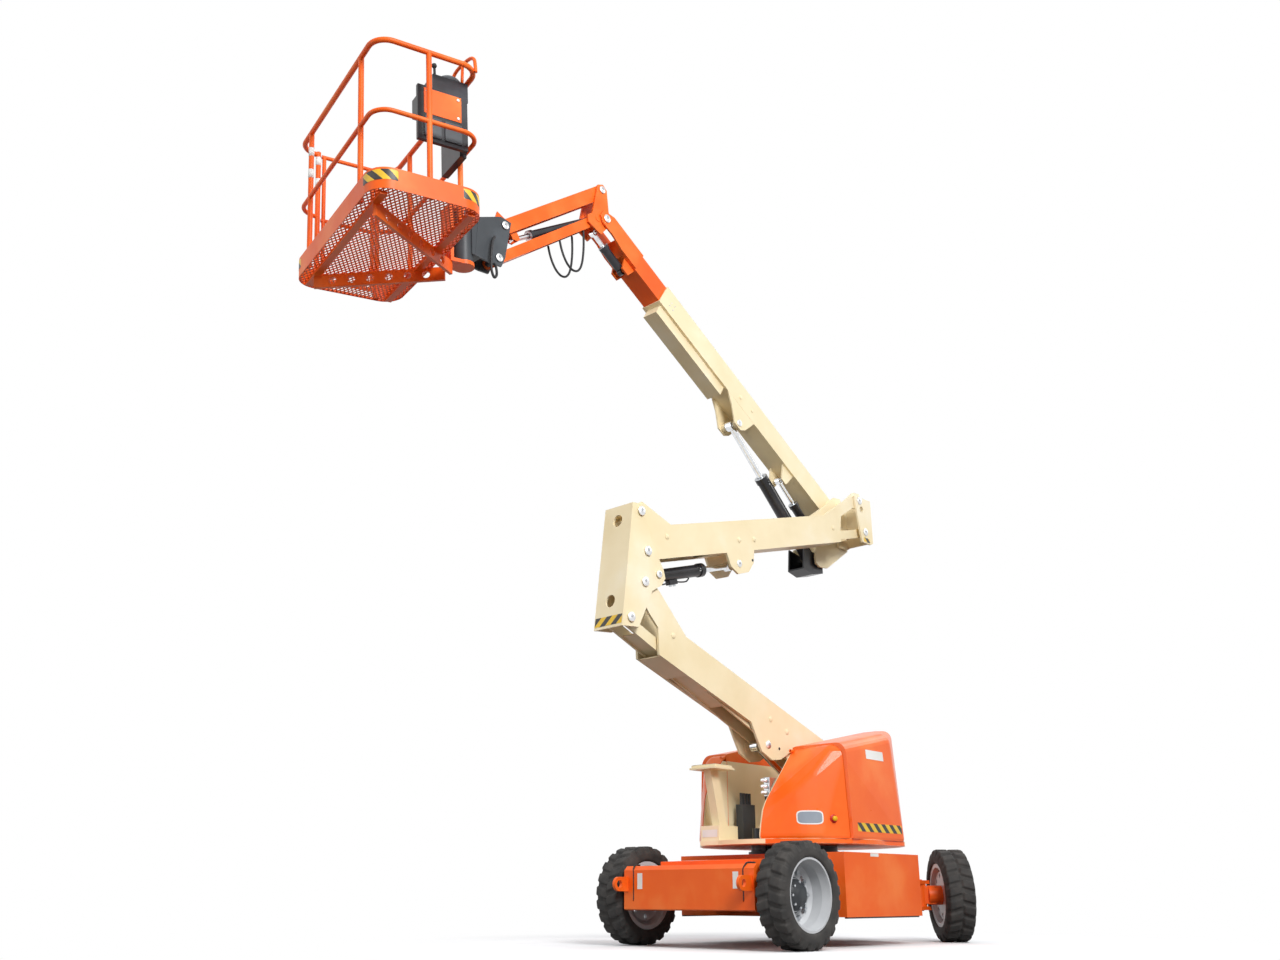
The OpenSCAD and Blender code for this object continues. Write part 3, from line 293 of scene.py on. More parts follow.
def put_mesh(name, points, faces, body, finish, slot=None, replaces=(), smooth=True, uv=None, bevel=0.0):
    """Puts points and faces in a mesh object at the origin that rides on a body.

    uv gives one pair of metres for each point, and bevel rounds the arrises by that much."""
    mesh = bpy.data.meshes.new(name)
    mesh.from_pydata(np.asarray(points, float).tolist(), [],
                     faces if isinstance(faces, list) else faces.tolist())
    mesh.validate()
    mesh.update()
    if smooth:
        mesh.polygons.foreach_set("use_smooth", np.ones(len(mesh.polygons), bool))
    if uv is not None:
        corners = np.empty(len(mesh.loops), int)
        mesh.loops.foreach_get("vertex_index", corners)
        layer = mesh.uv_layers.new(name="metres")
        layer.data.foreach_set("uv", np.asarray(uv, np.float32)[corners].ravel())
    piece = bpy.data.objects.new(name, mesh)
    bpy.context.scene.collection.objects.link(piece)
    mesh.materials.append(FINISHES[finish])
    if bevel:
        round_off = piece.modifiers.new("rounded_arrises", "BEVEL")
        round_off.width = bevel
        round_off.segments = 2
        round_off.limit_method = "ANGLE"
        round_off.harden_normals = False
    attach(piece, body)
    if replaces:
        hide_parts(*replaces)
    return piece


def grid_faces(rows, columns, wrap=True):
    """Quads of a grid of points, closed along its columns when wrap is true."""
    i, j = np.meshgrid(np.arange(rows - 1), np.arange(columns if wrap else columns - 1), indexing="ij")
    k = (j + 1) % columns
    quads = np.stack([i * columns + j, i * columns + k, (i + 1) * columns + k, (i + 1) * columns + j], -1)
    return quads.reshape(-1, 4)


def catmull(points, steps):
    """Points on a smooth curve through the given points, with steps points in each span.

    Between b and c, with a before and d after: (2b + (c-a)t + (2a-5b+4c-d)t^2 + (3b-a-3c+d)t^3) / 2."""
    p = np.asarray(points, float)
    p = np.vstack([2 * p[0] - p[1], p, 2 * p[-1] - p[-2]])
    t = np.linspace(0, 1, steps, endpoint=False)[:, None]
    spans = []
    for a, b, c, d in zip(p[:-3], p[1:-2], p[2:-1], p[3:]):
        square, cube = 2 * a - 5 * b + 4 * c - d, 3 * b - a - 3 * c + d
        spans.append(0.5 * (2 * b + (c - a) * t + square * t ** 2 + cube * t ** 3))
    return np.vstack(spans + [p[-2][None]])


def tube(path, radius, sides=12):
    """A capped round tube: path + radius (u cos a + v sin a), u and v square to the path and untwisted."""
    path = np.asarray(path, float)
    ahead = np.gradient(path, axis=0)
    ahead /= np.linalg.norm(ahead, axis=1)[:, None]
    side = np.cross(ahead[0], [0, 0, 1.0] if abs(ahead[0][2]) < 0.9 else [1.0, 0, 0])
    across = []
    for d in ahead:
        side = side - d * side.dot(d)
        side /= np.linalg.norm(side)
        across.append(side)
    u = np.array(across)
    v = np.cross(ahead, u)
    a = np.linspace(0, 2 * np.pi, sides, endpoint=False)
    ring = np.cos(a)[None, :, None] * u[:, None] + np.sin(a)[None, :, None] * v[:, None]
    rings = path[:, None] + radius * ring
    faces = grid_faces(len(path), sides)[:, ::-1].tolist()
    faces.append(list(range(sides)))
    faces.append(list(range((len(path) - 1) * sides, len(path) * sides))[::-1])
    return rings.reshape(-1, 3), faces


def lathe(profile, centre, axis, steps=24):
    """A profile of (radius, height) pairs turned about an axis: centre + r (u cos a + v sin a) + h axis."""
    profile = np.asarray(profile, float)
    axis = np.asarray(axis, float) / np.linalg.norm(axis)
    u = np.cross(axis, [0, 0, 1.0] if abs(axis[2]) < 0.9 else [1.0, 0, 0])
    u /= np.linalg.norm(u)
    v = np.cross(axis, u)
    a = np.linspace(0, 2 * np.pi, steps, endpoint=False)
    ring = np.cos(a)[:, None] * u + np.sin(a)[:, None] * v
    points = np.asarray(centre) + profile[:, 0, None, None] * ring[None] + profile[:, 1, None, None] * axis
    return points.reshape(-1, 3), grid_faces(len(profile), steps).tolist()


def prism(outline, low, high):
    """A flat outline given depth from low to high."""
    outline = np.asarray(outline, float)
    n = len(outline)
    points = np.vstack([np.column_stack([outline, np.full(n, low)]),
                        np.column_stack([outline, np.full(n, high)])])
    faces = grid_faces(2, n).tolist() + [list(range(n))[::-1], list(range(n, 2 * n))]
    return points, faces


def merged(parts):
    """Several (points, faces) lists as one."""
    points, faces, count = [], [], 0
    for some, quads in parts:
        points.append(np.asarray(some, float))
        faces += [[i + count for i in quad] for quad in quads]
        count += len(some)
    return np.vstack(points), faces


def box_part(low, high):
    """The eight corners and six faces of a box."""
    (a, b, c), (d, e, f) = low, high
    points = [(a, b, c), (d, b, c), (d, e, c), (a, e, c), (a, b, f), (d, b, f), (d, e, f), (a, e, f)]
    faces = [[0, 3, 2, 1], [4, 5, 6, 7], [0, 1, 5, 4], [1, 2, 6, 5], [2, 3, 7, 6], [3, 0, 4, 7]]
    return np.array(points), faces


def on_platform(points):
    """Platform places, from the rotator's foot, in the row frame: turned, then leaned forward."""
    p = np.asarray(points, float)
    c, s = math.cos(PLATFORM_TURN), math.sin(PLATFORM_TURN)
    x, y, z = p[:, 0] * c - p[:, 1] * s, p[:, 0] * s + p[:, 1] * c, p[:, 2]
    c, s = math.cos(PLATFORM_LEAN), math.sin(PLATFORM_LEAN)
    return ROTATOR + np.column_stack([x * c + z * s, y, -x * s + z * c])


def draped(node, starts, ways, lift=FILM):
    """Points thrown, all one way or each its own, onto a CAD node's surface and lifted a little off it."""
    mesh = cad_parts[node].data
    mesh.calc_loop_triangles()
    corners = [tuple(vertex.co) for vertex in mesh.vertices]
    tree = BVHTree.FromPolygons(corners, [tuple(triangle.vertices) for triangle in mesh.loop_triangles])
    found = []
    for start, way in zip(starts, np.broadcast_to(ways, np.shape(starts))):
        way = Vector(way).normalized()
        hit = tree.ray_cast(Vector(start), way)[0]
        if hit is None:
            raise ValueError(f"nothing of {node} lies that way from {list(start)}")
        found.append(hit - way * lift)
    return np.array(found)


def fasteners(name, parts, body, **how):
    """Plated steel nuts, bolts or blocks as one piece."""
    put_mesh(name, *merged(parts), body, "steel", "machined_steel", smooth=False, **how)


def fixed_hoses(name, routes, body, radius, steps=8, sides=10):
    """Hoses or pipes that ride rigidly, on smooth routes, as one piece."""
    tubes = [tube(catmull(route, steps), radius, sides) for route in routes]
    put_mesh(name, *merged(tubes), body, "hose", "hose_rubber")


def platform_piece(name, parts, finish, slot=None, **how):
    """Parts given from the rotator's foot, as one piece of the platform."""
    points, faces = merged(parts)
    put_mesh(name, on_platform(points), faces, "platform", finish, slot, **how)


# Settings


class BoomLiftLook(bpy.types.PropertyGroup):
    """Sizes that a user may change."""

    lens: bpy.props.FloatProperty(
        name="Lens", description="Focal length of the camera in millimetres", default=32.40)
    lugs: bpy.props.IntProperty(
        name="Lugs", description="Tread lugs on each half of a tyre", default=22, min=12, max=40)
    lug_height: bpy.props.FloatProperty(
        name="Lug height", description="Depth of the grooves between the tread lugs", default=0.016,
        unit="LENGTH")
    mesh_pitch: bpy.props.FloatProperty(
        name="Floor mesh", description="Distance between the floor's strands", default=0.028, unit="LENGTH")
    hose_diameter: bpy.props.FloatProperty(
        name="Hose", description="Outside diameter of the jib hoses", default=0.018, unit="LENGTH")


# Operators


def paper_floor(scene):
    """White paper that takes the shadow near the machine and melts into the white backdrop farther off."""
    mesh = bpy.data.meshes.new("studio_floor")
    s = BACKDROP
    mesh.from_pydata([(-s, -s, 0), (s, -s, 0), (s, s, 0), (-s, s, 0)], [], [(0, 1, 2, 3)])
    floor = bpy.data.objects.new("studio_floor", mesh)
    scene.collection.objects.link(floor)
    material, tree, shader, coords = start_material("white_backdrop_paper", Roughness=0.9,
                                                    Specular_IOR_Level=0.1)
    path = seen_ray(tree)
    paper = ramp(tree, noise(tree, coords, 0.5), [(0.3, "#f4f4f4"), (0.7, "#fafafa")])
    # Light that the floor throws back up is dimmer, so undersides stay dark as in the photograph
    tree.links.new(blend(tree, path, "#5f5d5b", paper), shader.inputs["Base Color"])
    reach = add_node(tree, "ShaderNodeVectorMath", {0: coords}, operation="LENGTH").outputs["Value"]
    fade = spread(tree, reach, 0.0, 1.0, MELT_FROM, MELT_TO, interpolation_type="SMOOTHSTEP")
    fade = work(tree, "MULTIPLY", fade, path)
    glow = add_node(tree, "ShaderNodeEmission", Color=(1, 1, 1, 1), Strength=1.0).outputs["Emission"]
    mix = add_node(tree, "ShaderNodeMixShader", {"Fac": fade, 1: shader.outputs["BSDF"], 2: glow})
    tree.links.new(mix.outputs["Shader"], tree.nodes["Material Output"].inputs["Surface"])
    mesh.materials.append(material)


def studio_world(scene):
    """Soft light, more from overhead than from the sides, on a backdrop that is seen as white."""
    world = bpy.data.worlds.new("studio_world")
    scene.world = world
    world.use_nodes = True
    tree = world.node_tree
    tree.nodes.clear()
    out = tree.nodes.new("ShaderNodeOutputWorld")
    coords = tree.nodes.new("ShaderNodeTexCoord").outputs["Generated"]
    way = add_node(tree, "ShaderNodeSeparateXYZ", {"Vector": coords}).outputs
    above = spread(tree, way["Z"], 0.26, 0.95, 0.0, 0.9)
    soft = add_node(tree, "ShaderNodeBackground", {"Strength": above}, Color=linear("#f4f6fa"))
    white = add_node(tree, "ShaderNodeBackground", Color=(1, 1, 1, 1), Strength=1.0)
    mix = add_node(tree, "ShaderNodeMixShader", {"Fac": seen_ray(tree), 1: soft.outputs["Background"],
                                                 2: white.outputs["Background"]})
    tree.links.new(mix.outputs["Shader"], out.inputs["Surface"])


def studio_lamps(scene):
    """Square soft boxes, each turned to face what it is aimed at."""
    for name, spot, aim, size, power in LAMPS:
        lamp = bpy.data.lights.new(name, "AREA")
        lamp.size = size
        lamp.energy = power
        holder = bpy.data.objects.new(name, lamp)
        scene.collection.objects.link(holder)
        holder.location = spot
        way = np.array(aim) - np.array(spot)
        tilt = math.pi - math.acos(way[2] / np.linalg.norm(way))
        holder.rotation_euler = (tilt, 0, math.atan2(way[1], way[0]) - math.pi / 2)


def photo_camera(scene):
    """The photograph's own camera."""
    lens = bpy.data.cameras.new("photo_camera")
    lens.sensor_width = SENSOR
    lens.lens = scene.boom_lift.lens
    lens.clip_end = 200
    camera = bpy.data.objects.new("photo_camera", lens)
    scene.collection.objects.link(camera)
    camera.location = CAMERA_PLACE
    camera.rotation_euler = (math.pi / 2 + CAMERA_PITCH, 0, CAMERA_HEADING - math.pi / 2)
    scene.camera = camera


class BOOMLIFT_OT_stage(bpy.types.Operator):
    """Builds the pale floor, the soft studio lights and the camera"""

    bl_idname = "boomlift.stage"
    bl_label = "Stage and camera"

    def execute(self, context):
        scene = context.scene
        scene.view_settings.view_transform = "Standard"
        paper_floor(scene)
        studio_world(scene)
        studio_lamps(scene)
        photo_camera(scene)
        return {"FINISHED"}


# Hose's route in the side view (x, z): it hangs in a loop between two clamps under the jib's link
HOSE_ROUTE = [(2.470, 5.228), (2.448, 5.160), (2.418, 5.100), (2.378, 5.050), (2.328, 5.022), (2.278, 5.030),
              (2.242, 5.070), (2.222, 5.130), (2.212, 5.200), (2.208, 5.280), (2.210, 5.360), (2.216, 5.429)]


class BOOMLIFT_OT_hoses(bpy.types.Operator):
    """Lays the two loose hoses that loop under the jib"""

    bl_idname = "boomlift.hoses"
    bl_label = "Jib hoses"

    def execute(self, context):
        radius = context.scene.boom_lift.hose_diameter / 2
        for name, shift in (("jib_hose_near", (0, -0.216, 0)), ("jib_hose_far", (0.024, -0.324, -0.019))):
            route = [(x + shift[0], shift[1], z + shift[2]) for x, z in HOSE_ROUTE]
            path = catmull(route, 6)
            points, faces = tube(path, radius, 14)
            piece = put_mesh(name + "_rubber", points, faces, "jib_link", "hose", "hose_rubber", [name])
        return {"FINISHED"}


# Wheels: hub's middle and the axle's way out
WHEELS = {
    "drive_near": ((1.0, 0.755, 0.354), (0, 1, 0)),
    "drive_far": ((1.0, -0.755, 0.354), (0, -1, 0)),
    "steer_near": ((-1.17678, 0.68178, 0.354), (-0.707107, 0.707107, 0)),
    "steer_far": ((-0.82322, -0.68178, 0.354), (0.707107, -0.707107, 0)),
}
# Tyre's radius over the lugs, its width, and its radius at the rim
TYRE_R, TYRE_W, RIM_R = 0.354, 0.235, 0.243
# Lugs, in shares of their pitch: slant from the middle to the edge, start, end and rounding
LUG_SLANT, LUG_FROM, LUG_TO, LUG_EDGE = 0.32, 0.10, 0.80, 0.07
# Circles of wheel nuts and hub bolts: count, radius, place along the axle, size across flats, height
NUT_CIRCLE = (10, 0.150, -0.0515, 0.030, 0.022)
BOLT_CIRCLE = (8, 0.083, 0.004, 0.017, 0.012)


def tyre_surface(lugs, lug_height):
    """Turns of a lugged tyre, places across it from -1 to 1, and the radius at each pair.

    radius = plain section - lug_height D (1 - B (0.35 + 0.65 C)). B is 1 on a lug, whose phase is
    lugs a / 2 pi + LUG_SLANT |s|, half a pitch on at one side; C fades at the middle and D on the wall."""
    steps_per_lug = 16
    angle = np.linspace(0, 2 * np.pi, lugs * steps_per_lug, endpoint=False)
    # Section from the rim over the wall to the tread: (radius, place across the tyre from 0 to 1)
    wall = [(RIM_R + 0.0015, 0.90), (RIM_R + 0.010, 0.97), (RIM_R + 0.020, 0.995), (RIM_R + 0.040, 0.992),
            (TYRE_R - 0.058, 0.990), (TYRE_R - 0.050, 0.985), (TYRE_R - 0.040, 0.960),
            (TYRE_R - 0.030, 0.930), (TYRE_R - 0.020, 0.900), (TYRE_R - 0.010, 0.870),
            (TYRE_R - 0.004, 0.840)]
    tread = [(TYRE_R - 0.0008, v) for v in np.linspace(0.80, 0.04, 14)]
    right = np.array(wall + tread)
    section = np.vstack([right, right[::-1] * [1, -1]])
    radius, across = section[:, 0], section[:, 1]
    half_pitch = np.where(across > 0, 0.5, 0.0)
    phase = (angle[:, None] / (2 * np.pi) * lugs + half_pitch + LUG_SLANT * np.abs(across)[None]) % 1.0
    block = np.clip(np.minimum(phase - LUG_FROM, LUG_TO - phase) / LUG_EDGE, 0, 1)
    block = block * block * (3 - 2 * block)
    centre = np.clip((np.abs(across) - 0.05) / 0.06, 0, 1)[None]
    deep = np.clip((radius - (TYRE_R - 0.062)) / 0.045, 0, 1)[None]
    return angle, across, radius[None] - lug_height * deep * (1 - block * (0.35 + 0.65 * centre))


class BOOMLIFT_OT_tyres(bpy.types.Operator):
    """Moulds the lugged tyres over their plain CAD rings"""

    bl_idname = "boomlift.tyres"
    bl_label = "Tyres"

    def execute(self, context):
        look = context.scene.boom_lift
        angle, across, r = tyre_surface(look.lugs, look.lug_height)
        for name, (hub, axle) in WHEELS.items():
            axle = np.array(axle, float)
            u = np.cross(axle, [0, 0, 1.0])
            ring = np.cos(angle)[:, None] * u + np.sin(angle)[:, None] * np.array([0, 0, 1.0])
            out = (across * TYRE_W / 2)[None, :, None] * axle
            points = np.array(hub) + r[..., None] * ring[:, None] + out
            closed = np.concatenate([points, points[:, :1]], 1)
            columns = closed.shape[1]
            faces = grid_faces(len(angle), columns, wrap=False)
            last = grid_faces(2, columns, wrap=False)
            last[:, 2:] -= columns
            last[:, :2] += (len(angle) - 1) * columns
            piece = put_mesh("tyre_" + name + "_tread", closed.reshape(-1, 3), np.vstack([faces, last]),
                             "wheel_" + name, "tyre", "tyre_rubber", ["tyre_" + name])
            facing_out(piece)
        return {"FINISHED"}


def facing_out(piece):
    """Merges doubled points and turns the faces of a closed piece outwards."""
    shape = bmesh.new()
    shape.from_mesh(piece.data)
    bmesh.ops.remove_doubles(shape, verts=shape.verts, dist=1e-6)
    bmesh.ops.recalc_face_normals(shape, faces=shape.faces)
    shape.to_mesh(piece.data)
    shape.free()


def hex_head(centre, axis, across, height):
    """A chamfered hexagon bolt head or nut: six-sided rings narrowing at the top."""
    r = across / math.sqrt(3)
    return lathe([(0, 0), (r, 0), (r, height * 0.8), (r * 0.86, height), (0, height)], centre, axis, 6)


class BOOMLIFT_OT_hubs(bpy.types.Operator):
    """Turns the dark hubs and sets the wheel nuts and hub bolts"""

    bl_idname = "boomlift.hubs"
    bl_label = "Hubs and nuts"

    def execute(self, context):
        shell = [(0.118, -0.0512), (0.118, -0.046), (0.106, -0.040), (0.101, -0.012), (0.094, 0.002),
                 (0.073, 0.011), (0.066, 0.018), (0.052, 0.022), (0.046, 0.030), (0.018, 0.033), (0.0, 0.033)]
        for name, (hub, axle) in WHEELS.items():
            hub, axle = np.array(hub), np.array(axle, float)
            u, up = np.cross(axle, [0, 0, 1.0]), np.array([0, 0, 1.0])
            put_mesh("hub_" + name, *lathe(shell, hub, axle, 48), "wheel_" + name, "hub", "dark_grey")
            for piece, circle in (("wheel_nuts_", NUT_CIRCLE), ("hub_bolts_", BOLT_CIRCLE)):
                count, radius, out, flats, height = circle
                turns = np.linspace(0, 2 * np.pi, count, endpoint=False)
                spots = [hub + axle * out + radius * (math.cos(t) * u + math.sin(t) * up) for t in turns]
                heads = [hex_head(spot, axle, flats, height) for spot in spots]
                fasteners(piece + name, heads, "wheel_" + name)
        return {"FINISHED"}


# Pivot pins in the side view: x, z, radius, outer faces across the machine
TOWER_FACES, KNUCKLE_FACES, BOOM_FACES = (0.152, -0.152), (0.144, -0.144), (0.118, -0.118)
PINS = {
    "upright": [(1.8734, 2.4948, 0.030, TOWER_FACES), (2.0184, 2.2088, 0.030, TOWER_FACES),
                (1.9134, 3.0238, 0.030, TOWER_FACES), (1.8444, 2.7318, 0.030, TOWER_FACES),
                (1.7264, 2.5768, 0.022, TOWER_FACES)],
    "rear_knuckle": [(-1.0700, 3.8400, 0.030, KNUCKLE_FACES), (-1.1390, 3.5480, 0.030, KNUCKLE_FACES),
                     (-1.1000, 3.7620, 0.030, (-0.418,))],
    # The fly's cheeks sweep over the jib base's lower pin, so that one has no caps
    "jib_base": [(2.0353, 5.8918, 0.026, (-0.184, -0.356))],
    "rotator": [(3.0497, 5.0820, 0.026, (-0.181, -0.359)), (3.0927, 4.7870, 0.026, (-0.181, -0.359))],
    "lower_boom": [(0.4404, 1.4599, 0.026, BOOM_FACES)],
    "mid_boom": [(0.7350, 2.8660, 0.024, BOOM_FACES)],
    "main_boom": [(0.3095, 4.3033, 0.026, (-0.170, -0.370))],
    "fly": [(1.9953, 5.6218, 0.030, (-0.162, -0.378))],
}
# Weld plugs and bolts on the booms' sides: body, outer face, radius, finish, places (x, z)
STUDS = (
    ("mid_boom", 0.118, 0.022, "cream", ((0.728, 3.065), (0.530, 3.114), (1.600, 2.900), (-0.640, 3.480))),
    ("mid_boom", 0.118, 0.011, "black", ((0.560, 2.930),)),
    ("lower_boom", 0.118, 0.022, "cream", ((1.540, 2.150), (0.398, 1.660), (0.191, 1.581))),
    ("lower_boom", 0.118, 0.011, "black", ((0.300, 1.440),)),
    ("main_boom", -0.170, 0.007, "steel", ((1.222, 5.118), (1.196, 5.152), (1.157, 5.132), (1.183, 5.090))),
    ("main_boom", -0.170, 0.018, "cream", ((0.281, 4.560), (0.120, 4.480))),
)


class BOOMLIFT_OT_pins(bpy.types.Operator):
    """Caps the pivot pins with bright heads and sets the plugs on the booms' sides"""

    bl_idname = "boomlift.pins"
    bl_label = "Pin caps"

    def execute(self, context):
        for body, pins in PINS.items():
            heads, bolts = [], []
            for x, z, r, faces in pins:
                for y in faces:
                    middle = np.mean(faces) if len(faces) > 1 else MAIN_Y
                    out = np.array([0, 1.0 if y > middle else -1.0, 0])
                    spot = np.array([x, y, z]) - out * 0.0015
                    cap = [(0, 0.0), (r + 0.006, 0.0), (r + 0.006, 0.005), (r + 0.003, 0.008),
                           (r - 0.004, 0.0085), (r - 0.007, 0.011), (0, 0.012)]
                    heads.append(lathe(cap, spot, out, 36))
                    bolt_at = spot + out * 0.0115 + np.array([r * 0.2, 0, r * 0.1])
                    bolts.append(hex_head(bolt_at, out, 0.019, 0.008))
            put_mesh(f"pin_heads_{body}", *merged(heads), body, "plate")
            fasteners(f"pin_bolts_{body}", bolts, body)
        for k, (body, face, r, finish, places) in enumerate(STUDS):
            disc = [(0, -0.001), (r, -0.001), (r, 0.002), (r - 0.002, 0.004), (0, 0.004)]
            discs = [lathe(disc, (x, face, z), (0, 1, 0), 24) for x, z in places]
            put_mesh(f"side_studs_{k}_{body}", *merged(discs), body, finish)
        return {"FINISHED"}


# Cylinders: body, foot pin (x, z), y, way from foot to rod (x, z), barrel radius and length
CYLINDERS = {
    "lower_barrel": ((-0.62, 0.85), 0.0, (0.86686, 0.498552), 0.055, 0.820),
    "mid_barrel": ((1.72638, 2.5768), 0.0, (-0.959947, 0.280181), 0.048, 0.680),
    "lift_barrel": ((-0.81999, 3.25696), MAIN_Y, (0.733629, 0.67955), 0.054, 0.980),
    "master_barrel": ((-1.00999, 3.42196), MAIN_Y, (0.764056, 0.64515), 0.040, 0.565),
    "slave_barrel": ((1.7202, 5.2815), MAIN_Y, (0.833327, 0.55278), 0.036, 0.262),
    "jib_barrel": ((2.15024, 5.56176), MAIN_Y, (0.831641, -0.555314), 0.036, 0.720),
}
# Rod's radius as a share of its barrel's
ROD_SHARE = 0.52
# Cylinders that show their ports and the pipe between them
PIPED = ("mid_barrel", "lift_barrel")


class BOOMLIFT_OT_hydraulics(bpy.types.Operator):
    """Adds the cylinders' gland nuts, ports and pipes, and the valves between the hoods"""

    bl_idname = "boomlift.hydraulics"
    bl_label = "Hydraulic fittings"

    def execute(self, context):
        for body, ((x, z), y, way, r, length) in CYLINDERS.items():
            ahead, foot = np.array([way[0], 0, way[1]]), np.array([x, y, z])
            rod = r * ROD_SHARE
            ring = [(r + 0.006, -0.001), (r + 0.006, 0.001), (r + 0.003, 0.003), (rod + 0.004, 0.003),
                    (rod + 0.004, -0.001)]
            fasteners("gland_nut_" + body, [lathe(ring, foot + ahead * length, ahead, 32)], body)
            if body not in PIPED:
                continue
            # Ports stand on the barrel's near side and a pipe joins them
            near = np.array([0, 1.0, 0])
            first, last = foot + ahead * (r * 1.9), foot + ahead * (length - r * 1.6)
            ports = [hex_head(spot + near * (r - 0.002), near, 0.024, 0.014) for spot in (first, last)]
            fasteners("ports_" + body, ports, body)
            run = [first + near * (r + 0.012), first + near * (r + 0.018) + ahead * 0.012,
                   last + near * (r + 0.018) - ahead * 0.012, last + near * (r + 0.012)]
            fixed_hoses("pipes_" + body, [run], body, 0.0055)
        # Lock valve and pipes hung under the mid boom's cylinder
        (x, z), y, way, r, length = CYLINDERS["mid_barrel"]
        ahead, down = np.array([way[0], 0, way[1]]), np.array([-way[1], 0, way[0]])

        def under(points):
            """Places along the barrel, across the machine and out from its axis, in the row frame."""
            return np.array([x, y, z]) + np.asarray(points, float) @ np.array([ahead, [0, 1.0, 0], down])

        block, faces = box_part((0.250, -0.022, r - 0.004), (0.345, 0.022, r + 0.034))
        put_mesh("mid_lock_valve", under(block), faces, "mid_barrel", "black", smooth=False, bevel=0.003)
        runs = [[(0.120, 0.012, r + 0.012), (0.160, 0.012, r + 0.022), (0.220, 0.012, r + 0.020),
                 (0.252, 0.012, r + 0.018)],
                [(0.343, 0.010, r + 0.016), (0.400, 0.010, r + 0.024), (0.460, 0.010, r + 0.024),
                 (0.500, 0.006, r + 0.004)]]
        fixed_hoses("mid_lock_pipes", [under(run) for run in runs], "mid_barrel", 0.006, steps=6)
        nuts = [hex_head(under([(t, 0.0, r + 0.033)])[0], down, 0.022, 0.014) for t in (0.275, 0.320)]
        fasteners("mid_lock_nuts", nuts, "mid_barrel")
        # Valve manifold between the hoods, with three spools and their hoses
        manifold = box_part((0.470, 0.150, 1.060), (0.560, 0.206, 1.200))
        fasteners("valve_manifold", [manifold], "turntable", bevel=0.003)
        spool = [(0, 0), (0.017, 0), (0.017, 0.030), (0.013, 0.032), (0.013, 0.060), (0.008, 0.064),
                 (0, 0.064)]
        spools, bends = [], []
        for k in range(3):
            z = 1.085 + 0.045 * k
            spools.append(lathe(spool, (0.559, 0.178, z), (1, 0, 0), 20))
            spools.append(hex_head((0.515, 0.151, z), (0, -1, 0), 0.022, 0.016))
            bends.append([(0.515, 0.136, z), (0.512, 0.126, z - 0.015), (0.500 - 0.02 * k, 0.130, z - 0.09),
                          (0.480 - 0.03 * k, 0.150, 0.90), (0.470 - 0.03 * k, 0.160, 0.752)])
        put_mesh("valve_spools", *merged(spools), "turntable", "plate")
        fixed_hoses("valve_hoses", bends, "turntable", 0.007)
        # Hose loop from the rotator's motor
        loop = [(3.150, -0.182, 4.930), (3.160, -0.166, 4.925), (3.186, -0.154, 4.870),
                (3.196, -0.150, 4.760), (3.186, -0.150, 4.640), (3.156, -0.152, 4.585),
                (3.130, -0.156, 4.620), (3.134, -0.166, 4.690), (3.140, -0.182, 4.715)]
        fixed_hoses("rotator_hose_loop", [loop], "rotator", 0.010, sides=12)
        return {"FINISHED"}


class BOOMLIFT_OT_console(bpy.types.Operator):
    """Dresses the operator's console with its back panel, cowl, joystick and guard hoop"""

    bl_idname = "boomlift.console"
    bl_label = "Console"

    def execute(self, context):
        back = box_part((0.262, 0.6236, 0.485), (0.628, 0.655, 0.905))
        platform_piece("console_back", [back], "black", smooth=False, bevel=0.004)
        plate = box_part((0.310, 0.6545, 0.690), (0.585, 0.659, 0.885))
        platform_piece("console_plate", [plate], "orange", "frame_orange", smooth=False, bevel=0.002)
        head = [(0, 0), (0.011, 0), (0.011, 0.004), (0.007, 0.006), (0, 0.006)]
        spots = [(x, 0.6588, z) for x in (0.335, 0.560) for z in (0.715, 0.860)]
        bolts = [lathe(head, spot, (0, 1, 0), 16) for spot in spots]
        platform_piece("console_bolts", bolts, "white")
        pockets = [box_part((x, 0.6545, 0.515), (x + 0.125, 0.664, 0.665)) for x in (0.310, 0.460)]
        platform_piece("console_pockets", pockets, "grey", "dark_grey", smooth=False, bevel=0.003)
        dome = [(0.100 * math.cos(t), 0.080 * math.sin(t)) for t in np.linspace(0, np.pi / 2, 12)]
        cowl = lathe([(0, -0.001), (0.100, -0.001)] + dome, (0.345, 0.520, 1.040), (0, 0, 1), 36)
        platform_piece("console_cowl", [cowl], "grey", "dark_grey")
        stick = tube([(0.470, 0.580, 1.035), (0.472, 0.584, 1.080), (0.476, 0.590, 1.120)], 0.009)
        knob = lathe([(0, 0), (0.014, 0.002), (0.019, 0.014), (0.015, 0.028), (0, 0.032)],
                     (0.476, 0.590, 1.115), (0.1, 0.1, 1), 16)
        platform_piece("console_joystick", [stick, knob], "pad")
        hoop = [(0.282, 0.460, 1.036), (0.280, 0.460, 1.100), (0.278, 0.464, 1.165), (0.272, 0.500, 1.205),
                (0.262, 0.590, 1.216), (0.250, 0.690, 1.205), (0.243, 0.735, 1.170), (0.241, 0.746, 1.110),
                (0.241, 0.750, 1.062)]
        post = [(0.270, 0.590, 1.036), (0.266, 0.590, 1.120), (0.262, 0.590, 1.212)]
        bars = [tube(catmull(hoop, 6), 0.0125, 14), tube(post, 0.011, 14)]
        platform_piece("console_hoop", bars, "orange", "frame_orange")
        return {"FINISHED"}


